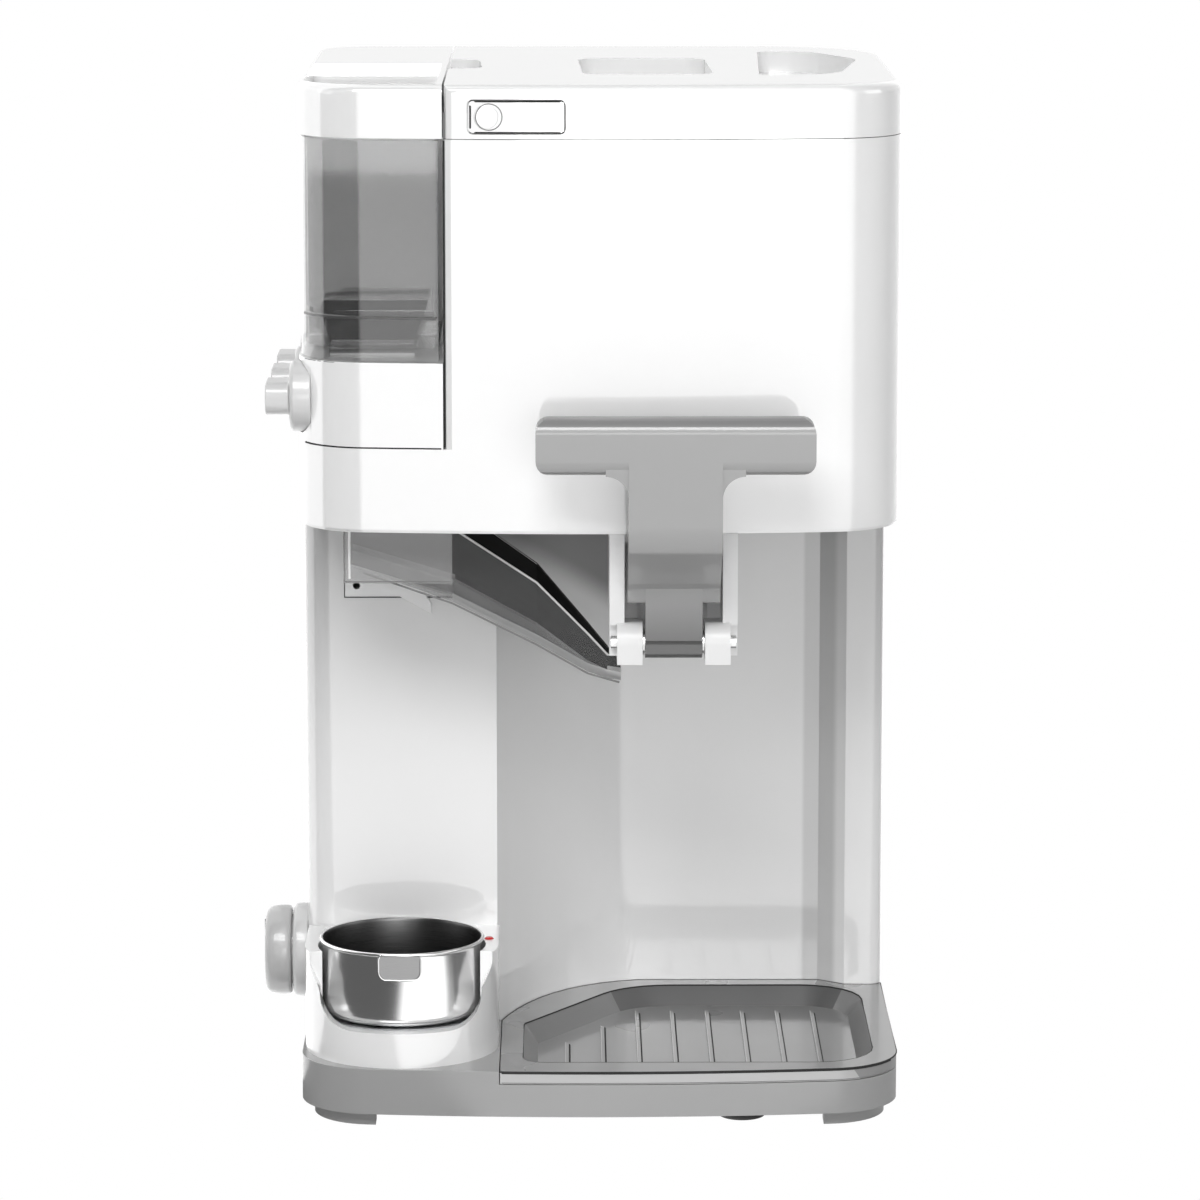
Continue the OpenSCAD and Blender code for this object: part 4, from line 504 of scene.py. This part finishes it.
def seam(name, node, corners, depth, radius, material, body, step=2.0):
    """Dark line in a joint: it follows the front of node between the corners (x, z), sunk by depth."""
    path = []
    for (x0, z0), (x1, z1) in zip(corners, corners[1:]):
        count = max(int(math.hypot(x1 - x0, z1 - z0) / step), 1)
        for i in range(count + 1):
            x = x0 + (x1 - x0) * i / count
            z = z0 + (z1 - z0) * i / count
            y = front_y(node, x, z)
            if y is not None and (not path or (at(x, y + depth, z) - path[-1]).length > 1e-5):
                path.append(at(x, y + depth, z))
    assert len(path) > 1, name
    return cord_mesh(name, path, radius, material, body)


def turned(name, profile, origin, axis, material, body, steps=96):
    """Body of revolution: profile holds (radius, distance along the axis) in millimetres."""
    axis = Vector(axis)
    side = Vector((0.0, 1.0, 0.0)) if abs(axis.y) < 0.9 else Vector((1.0, 0.0, 0.0))
    other = axis.cross(side)
    points, faces = [], []
    count = len(profile)
    for k in range(steps):
        a = 2.0 * math.pi * k / steps
        out = side * math.cos(a) + other * math.sin(a)
        points += [origin + (axis * t + out * r) * MM for r, t in profile]
    for k in range(steps):
        j = (k + 1) % steps
        for i in range(count - 1):
            faces.append((k * count + i, k * count + i + 1, j * count + i + 1, j * count + i))
    obj = new_mesh(name, points, faces, material, body)
    bm = bmesh.new()
    bm.from_mesh(obj.data)
    bmesh.ops.remove_doubles(bm, verts=bm.verts, dist=1e-6)
    bmesh.ops.recalc_face_normals(bm, faces=bm.faces)
    bm.to_mesh(obj.data)
    bm.free()
    smooth_by_angle(obj.data, 50.0)
    return obj


def quarter(cx, cy, r, start, end, steps=6):
    """Points of an arc around (cx, cy), angles in degrees."""
    angles = [math.radians(start + (end - start) * i / steps) for i in range(steps + 1)]
    return [(cx + r * math.cos(a), cy + r * math.sin(a)) for a in angles]


def top_loops(node, z):
    """Closed lines around the flat top faces of a node at height z, in the drawing's millimetres."""
    bm = bmesh.new()
    bm.from_mesh(NODES[node].data)
    bmesh.ops.remove_doubles(bm, verts=bm.verts, dist=1e-6)
    flat = {f for f in bm.faces if f.normal.z > 0.99 and abs(f.calc_center_median().z / MM - z) < 0.05}
    border = [e for e in bm.edges if sum(f in flat for f in e.link_faces) == 1]
    after = {}
    for e in border:
        for a, b in ((e.verts[0], e.verts[1]), (e.verts[1], e.verts[0])):
            after.setdefault(a, []).append(b)
    loops, seen = [], set()
    for start in after:
        if start in seen:
            continue
        line, here = [start], start
        seen.add(start)
        while True:
            step = next((v for v in after[here] if v not in seen), None)
            if step is None:
                break
            seen.add(step)
            line.append(step)
            here = step
        loops.append([v.co.copy() for v in line] + [line[0].co.copy()])
    bm.free()
    return loops


RIB_COUNT = 8
RIB_FIRST = -13.5            # middle of the first rib
RIB_PITCH = 15.0
RIB_FRONT = 26.0
RIB_BACK = 126.0
SHORT_RIBS = 2               # they end before the others, at the basin's slanted side
SHORT_BACK = 73.0            # back end of the first of them
SHORT_STEP = 28.0            # and how much farther the next one goes
TRAY_EDGE_X = (-40.0, 119.0)      # ends of the lines along the tray's front edge


def make_tray_lines():
    """Dark lines of painted shade round the tray's rim and basin and along its front edge, a dark joint under
    it, and a painted shade and a painted highlight on the two sides of each rib.
    """
    body = "drip_tray"
    sunk = Vector((0.0, 0.0, -0.25)) * MM
    for k, loop in enumerate(top_loops(body, TRAY_TOP)):
        if len(loop) > 8:
            cord_mesh("tray_line_%d" % k, [p + sunk for p in loop], 0.34, SHADE, body)
    seam("tray_front_line", body, [(x, TRAY_TOP - 0.7) for x in TRAY_EDGE_X], 0.3, 0.55, SHADE, body)
    seam("tray_low_line", body, [(x, TRAY_TOP - 4.8) for x in TRAY_EDGE_X], 0.2, 0.3, FAINT, body)
    for k in range(RIB_COUNT):
        x = RIB_FIRST + k * RIB_PITCH
        ends = (RIB_FRONT, SHORT_BACK + k * SHORT_STEP if k < SHORT_RIBS else RIB_BACK)
        # Painted shade on one side of each rib, painted highlight on the other.
        shaded = [at(x + 1.15, y, TRAY_FLOOR + 0.5) for y in ends]
        light = [at(x - 0.5, y, TRAY_FLOOR + 1.5) for y in ends]
        cord_mesh("rib_shade_%d" % k, shaded, 0.42, SHADE, body)
        cord_mesh("rib_highlight_%d" % k, light, 0.35, TRAY_EDGE, body)


# The chute's edges, as points (x, y, z) from its box down to its tip.
CHUTE_FRONT_RIM = [(-59.5, 22.6, 245.2), (-25.5, 23.4, 222.7), (-4.8, 21.6, 202.0), (3.2, 20.6, 193.5),
                   (8.3, 20.6, 193.5)]
CHUTE_BACK_RIM = [(-59.5, 78.0, 245.2), (-25.5, 70.0, 222.7), (-4.8, 47.4, 202.0), (3.2, 39.4, 193.5)]
CHUTE_LOW_EDGE = [(-95.5, 24.0, 226.6), (-59.5, 24.0, 214.1), (-25.5, 25.0, 196.9), (-4.8, 23.0, 185.4),
                  (8.0, 22.0, 181.9)]
CHUTE_BOX_EDGE = [(-102.9, 22.3, 245.0), (-102.9, 22.3, 223.3), (-60.0, 22.3, 223.3), (-60.0, 22.3, 245.0)]
CHUTE_BOX_HIGHLIGHT = [(-101.0, 22.3, 244.5), (-101.0, 22.3, 224.5)]
BRACKET_EDGE = [(-105.4, 78.9, 245.5), (-105.4, 78.9, 207.2), (-56.6, 78.9, 207.2)]


def make_chute_lines():
    """Painted highlights and painted shade along the edges of the clear chute, and painted shade along its
    bracket's edges.
    """
    for name, edge, radius, material, body in (
            ("chute_rim_front", CHUTE_FRONT_RIM, 0.45, CHUTE_RIM_HIGHLIGHT, "mixin_chute"),
            ("chute_rim_back", CHUTE_BACK_RIM, 0.35, SHADE, "mixin_chute"),
            ("chute_low_edge", CHUTE_LOW_EDGE, 0.4, FAINT, "mixin_chute"),
            ("chute_box_edge", CHUTE_BOX_EDGE, 0.3, SHADE, "mixin_chute"),
            ("chute_box_highlight", CHUTE_BOX_HIGHLIGHT, 0.6, WHITE_SATIN, "mixin_chute"),
            ("bracket_edge", BRACKET_EDGE, 0.3, SHADE, "machine")):
        cord_mesh(name, [at(*point) for point in edge], radius, material, body)


KNOB_AT = (-122.5, 104.0, 51.5)   # where the warmer knob's axis leaves the tower


def make_knob():
    """Barrel-shaped knob and its ring, on the left side."""
    centre = at(*KNOB_AT)
    out = (-1.0, 0.0, 0.0)
    ring = [(6.0, 6.2), (16.0, 6.4)] + quarter(17.6, 4.4, 2.0, 90, 0, 6) + [(19.9, 2.2), (19.6, 0.0)]
    knob = [(0.0, 18.4), (12.0, 18.3)] + quarter(14.8, 14.6, 3.6, 90, 10, 7) + [(18.9, 12.0), (18.9, 10.0)]
    knob += quarter(17.0, 8.8, 1.8, 0, -90, 4) + [(15.0, 7.0), (15.0, 4.2), (3.0, 4.2)]
    ring_obj = turned("knob_ring_finish", ring, centre, out, LIGHT_GREY, "machine")
    knob_obj = turned("knob_finish", knob, centre, out, KNOB_GREY, "warmer_knob")
    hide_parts("knob_ring")
    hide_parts("warmer_knob")
    line = [centre + Vector((-18.4, 0.0, z)) * MM for z in (6.0, 13.0)]
    mark = cord_mesh("knob_mark", line, 0.4, SHADE, "warmer_knob")


CUP_WALL = 0.8


def inside_cup(face, middle, radius):
    """Whether a face of the cup is nearer to its axis than radius, above its bottom and turned inwards."""
    place = face.center - middle
    outwards = Vector((place.x, place.y, -4.0 * MM))
    near = math.hypot(place.x, place.y) < radius * MM
    return near and place.z > 0.7 * MM and face.normal.dot(outwards) < 0.0


def make_cup_tab(x, front, top):
    """Thumb tab on the cup's front: a plate with round lower corners in a painted dark reflection, and its
    rolled edge.
    """
    z1 = top - 1.1
    z0 = top - 10.6
    corner = quarter(4.9, z0 + 3.4, 3.7, 0, -70, 6)
    outline = [(-8.2, z1), (8.2, z1), (8.6, z1 - 1.0)] + corner
    outline += [(0.0, z0 - 0.3)] + [(-px, pz) for px, pz in reversed(corner)]
    outline += [(-8.6, z1 - 1.0)]
    count = len(outline)
    rows = [at(x + px, front + 1.0 - 0.75 * (z1 - pz) / 10.0, pz) for px, pz in outline]
    rows += [at(x + px, front + 2.3, pz) for px, pz in outline]
    faces = [tuple(range(count)), tuple(range(2 * count - 1, count - 1, -1))]
    faces += [(k, k + count, (k + 1) % count + count, (k + 1) % count) for k in range(count)]
    tab = new_mesh("cup_tab", rows, faces, TAB_DARK_REFLECTION, "warming_cup")
    lip = cord_mesh("cup_tab_lip", rows[2:count] + [rows[0]], 0.42, CUP_STEEL, "warming_cup", 8)
    return tab, lip


def make_cup():
    """Warming cup with a rolled rim, an inside in painted shade and a thumb tab, from the CAD cup's box."""
    low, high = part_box("warming_cup")
    middle = Vector(((low.x + high.x) / 2, 0.0, low.z))
    radius = (high.x - low.x) / 2 / MM
    middle.y = high.y - radius * MM
    height = (high.z - low.z) / MM
    side = radius - CUP_WALL
    profile = [(0.0, 0.0)] + quarter(side - 4.0, 4.0, 4.0, -90, 0, 8) + [(side, height - 2.2)]
    profile += quarter(radius - 0.7, height - 0.7, 0.7, -60, 180, 10)
    profile += [(side - CUP_WALL, height - 1.6)] + quarter(side - 4.0, 4.0, 4.0 - CUP_WALL, 0, -90, 8)
    profile += [(0.0, CUP_WALL)]
    cup = turned("cup", profile, middle, (0.0, 0.0, 1.0), CUP_STEEL, "warming_cup", 128)
    cup.data.materials.append(CUP_INSIDE_SHADE)
    for face in cup.data.polygons:
        if inside_cup(face, middle, radius - 1.2):
            face.material_index = 1
    tab, lip = make_cup_tab(middle.x / MM - SHIFT.x, low.y / MM - SHIFT.y, high.z / MM)
    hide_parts("warming_cup")


DISPENSER_GAP = -61.7        # joint right of the dispenser
BLOCK_X = (-118.0, -63.2)    # ends of the lines across the dispenser's block
SHELF_X = (-118.0, -64.8)    # and across the container in front
LATCH_X = (-51.2, -13.8)     # outline of the latch button
LATCH_Z = (406.3, 418.7)
DISH_AT = (-43.8, 412.5)     # round dish on its left
DISH_RADIUS = 5.2


def make_seams():
    """Dark joints between the white pieces and round the latch, a line of painted shade round the latch's
    dish, and painted shade along the container's shelf.
    """
    beside_block = [at(DISPENSER_GAP, 4.4, z) for z in (280.5, 340.0, 403.0)]
    cord_mesh("seam_dispenser", beside_block, 0.55, SHADE, "machine")
    between_lids = [at(DISPENSER_GAP, 5.0, z) for z in (404.0, 414.0)]
    cord_mesh("seam_lids", between_lids, 0.5, FAINT, "machine")
    seam("seam_block_low", "dispenser_block", [(x, 280.3) for x in BLOCK_X], 0.35, 0.5, SHADE, "machine")
    seam("seam_block_high", "dispenser_block", [(x, 314.2) for x in BLOCK_X], 0.3, 0.3, FAINT, "machine")
    (left, right), (bottom, top) = LATCH_X, LATCH_Z
    outline = [(left, bottom), (right, bottom), (right, top), (left, top), (left, bottom)]
    seam("seam_latch", "lid_latch", outline, -0.12, 0.36, SHADE, "lid_latch")
    ring = quarter(*DISH_AT, DISH_RADIUS, 0, 360, 24)
    seam("seam_dish", "lid_latch", ring, 0.0, 0.22, FAINT, "lid_latch", 5.0)
    shelf = [(x, 332.4) for x in SHELF_X]
    seam("shelf_line", "container_1", shelf, 0.4, 0.75, SHELF_SHADE_LINE, "container_1")


def dress_nodes():
    """Gives every CAD node its slot's material, also those that stay hidden inside."""
    for name, obj in NODES.items():
        dress(obj, LOOKS[SLOT_OF[name]])
        smooth_by_angle(obj.data, 30.0)


# ---- studio --------------------------------------------------------------------------------------

def area_light(name, place, aim, size, power):
    data = bpy.data.lights.new(name, "AREA")
    data.shape = "RECTANGLE"
    data.size, data.size_y = size
    data.energy = power
    light = bpy.data.objects.new(name, data)
    light.location = place
    direction = Vector(aim) - Vector(place)
    light.rotation_euler = direction.to_track_quat("-Z", "Y").to_euler()
    bpy.context.scene.collection.objects.link(light)


# Brightness of the studio's cards as reflections see them, by direction in degrees: 0 is towards the camera,
# positive to the right and 180 behind the machine.
CARD_STOPS = [(-180, 0.56), (-173, 0.56), (-168, 1.0), (-86, 1.0), (-82, 0.08), (-24, 0.08), (-19, 1.0),
              (38, 1.0), (46, 0.28), (110, 0.28), (135, 0.6), (168, 0.9), (173, 0.56)]
CARD_POWER = 1.8


def cards(tree, place):
    """The studio's cards, by the direction of place around the machine."""
    parts = tree.nodes.new("ShaderNodeSeparateXYZ")
    tree.links.new(place, parts.inputs[0])
    back = tree.nodes.new("ShaderNodeMath")
    back.operation = "MULTIPLY"
    back.inputs[1].default_value = -1.0
    tree.links.new(parts.outputs["Y"], back.inputs[0])
    angle = tree.nodes.new("ShaderNodeMath")
    angle.operation = "ARCTAN2"
    tree.links.new(parts.outputs["X"], angle.inputs[0])
    tree.links.new(back.outputs[0], angle.inputs[1])
    scale = tree.nodes.new("ShaderNodeMapRange")
    scale.inputs["From Min"].default_value = -math.pi
    scale.inputs["From Max"].default_value = math.pi
    tree.links.new(angle.outputs[0], scale.inputs["Value"])
    ramp = tree.nodes.new("ShaderNodeValToRGB")
    elements = ramp.color_ramp.elements
    while len(elements) < len(CARD_STOPS):
        elements.new(0.5)
    for element, (degrees, shade) in zip(elements, CARD_STOPS):
        element.position = (degrees + 180.0) / 360.0
        element.color = (shade, shade, shade, 1.0)
    tree.links.new(scale.outputs[0], ramp.inputs[0])
    light = tree.nodes.new("ShaderNodeEmission")
    light.inputs["Strength"].default_value = CARD_POWER
    tree.links.new(ramp.outputs[0], light.inputs["Color"])
    return light.outputs[0]


def seen_by(tree, rays, shade, other):
    """Shows other in place of shade to these kinds of rays."""
    path = tree.nodes.new("ShaderNodeLightPath")
    seen = tree.nodes.new("ShaderNodeMath")
    seen.operation = "MAXIMUM"
    tree.links.new(path.outputs[rays[0]], seen.inputs[0])
    tree.links.new(path.outputs[rays[-1]], seen.inputs[1])
    mix = tree.nodes.new("ShaderNodeMixShader")
    tree.links.new(seen.outputs[0], mix.inputs[0])
    tree.links.new(shade, mix.inputs[1])
    tree.links.new(other, mix.inputs[2])
    return mix.outputs[0]


def plain_white(tree):
    """The background as the camera sees it."""
    return tree.nodes.new("ShaderNodeEmission").outputs[0]


def make_world(strength):
    """Soft light from all round; reflections see the studio's cards instead."""
    world = bpy.data.worlds.new("studio")
    bpy.context.scene.world = world
    world.use_nodes = True
    tree = world.node_tree
    tree.nodes.clear()
    out = tree.nodes.new("ShaderNodeOutputWorld")
    coords = tree.nodes.new("ShaderNodeTexCoord")
    soft = tree.nodes.new("ShaderNodeBackground")
    soft.inputs["Strength"].default_value = strength
    shade = seen_by(tree, ["Is Glossy Ray"], soft.outputs[0], cards(tree, coords.outputs["Generated"]))
    shade = seen_by(tree, ["Is Camera Ray", "Is Transmission Ray"], shade, plain_white(tree))
    tree.links.new(shade, out.inputs["Surface"])


FLOOR_HALF = 6.0             # metres
FLOOR_GREY = 0.9


def make_floor():
    """Wide floor that throws soft light up: the camera sees the background's white in its place."""
    mesh = bpy.data.meshes.new("floor")
    half = FLOOR_HALF
    sheet = [(-half, -half, 0), (half, -half, 0), (half, half, 0), (-half, half, 0)]
    mesh.from_pydata(sheet, [], [(0, 1, 2, 3)])
    floor = bpy.data.objects.new("floor", mesh)
    bpy.context.scene.collection.objects.link(floor)
    mat = bpy.data.materials.new("floor")
    mat.use_nodes = True
    tree = mat.node_tree
    tree.nodes.clear()
    out = tree.nodes.new("ShaderNodeOutputMaterial")
    coords = tree.nodes.new("ShaderNodeTexCoord")
    diffuse = tree.nodes.new("ShaderNodeBsdfDiffuse")
    diffuse.inputs["Color"].default_value = (*grey(FLOOR_GREY), 1.0)
    shade = seen_by(tree, ["Is Glossy Ray"], diffuse.outputs[0], cards(tree, coords.outputs["Object"]))
    shade = seen_by(tree, ["Is Camera Ray", "Is Transmission Ray"], shade, plain_white(tree))
    tree.links.new(shade, out.inputs["Surface"])
    mesh.materials.append(mat)


def make_studio():
    make_world(0.22)
    make_floor()
    area_light("key_box", (-0.7, -3.0, 3.0), (0.0, 0.0, 0.2), (2.2, 1.4), 90.0)
    area_light("front_box", (0.5, -3.0, 0.5), (0.0, 0.0, 0.15), (1.6, 0.8), 14.0)
    area_light("right_box", (3.0, -0.8, 1.0), (0.0, 0.0, 0.25), (1.6, 1.6), 12.0)
    area_light("left_box", (-3.0, -0.8, 1.0), (0.0, 0.0, 0.25), (1.6, 1.6), 7.0)


make_camera()
dress_nodes()
finished = {node: softened(node, width) for node, width in SOFTENED.items()}
paint_faces(finished["drip_tray"], tray_face, TRAY_SLOPE_SHADE, TRAY_EDGE, TRAY_BACK_SHADE)
paint_faces(finished["column_shell"], column_face, WHITE)
paint_faces(finished["dispense_lever"], lever_face, LEVER_TOP_SHADE)
paint_faces(finished["hopper_1"], hopper_face, HOPPER_INSIDE_SHADE)
paint_faces(finished["mixin_chute"], chute_face, CHUTE_BOX, CHUTE_INSIDE_SHADE, CHUTE_RIM_HIGHLIGHT, CHUTE_BELLY_HIGHLIGHT)
make_cup()
make_knob()
make_seams()
make_tray_lines()
make_chute_lines()
make_studio()
bpy.context.scene.view_settings.view_transform = "Standard"


def corners(box):
    return [[float(v) for v in corner] for corner in box]
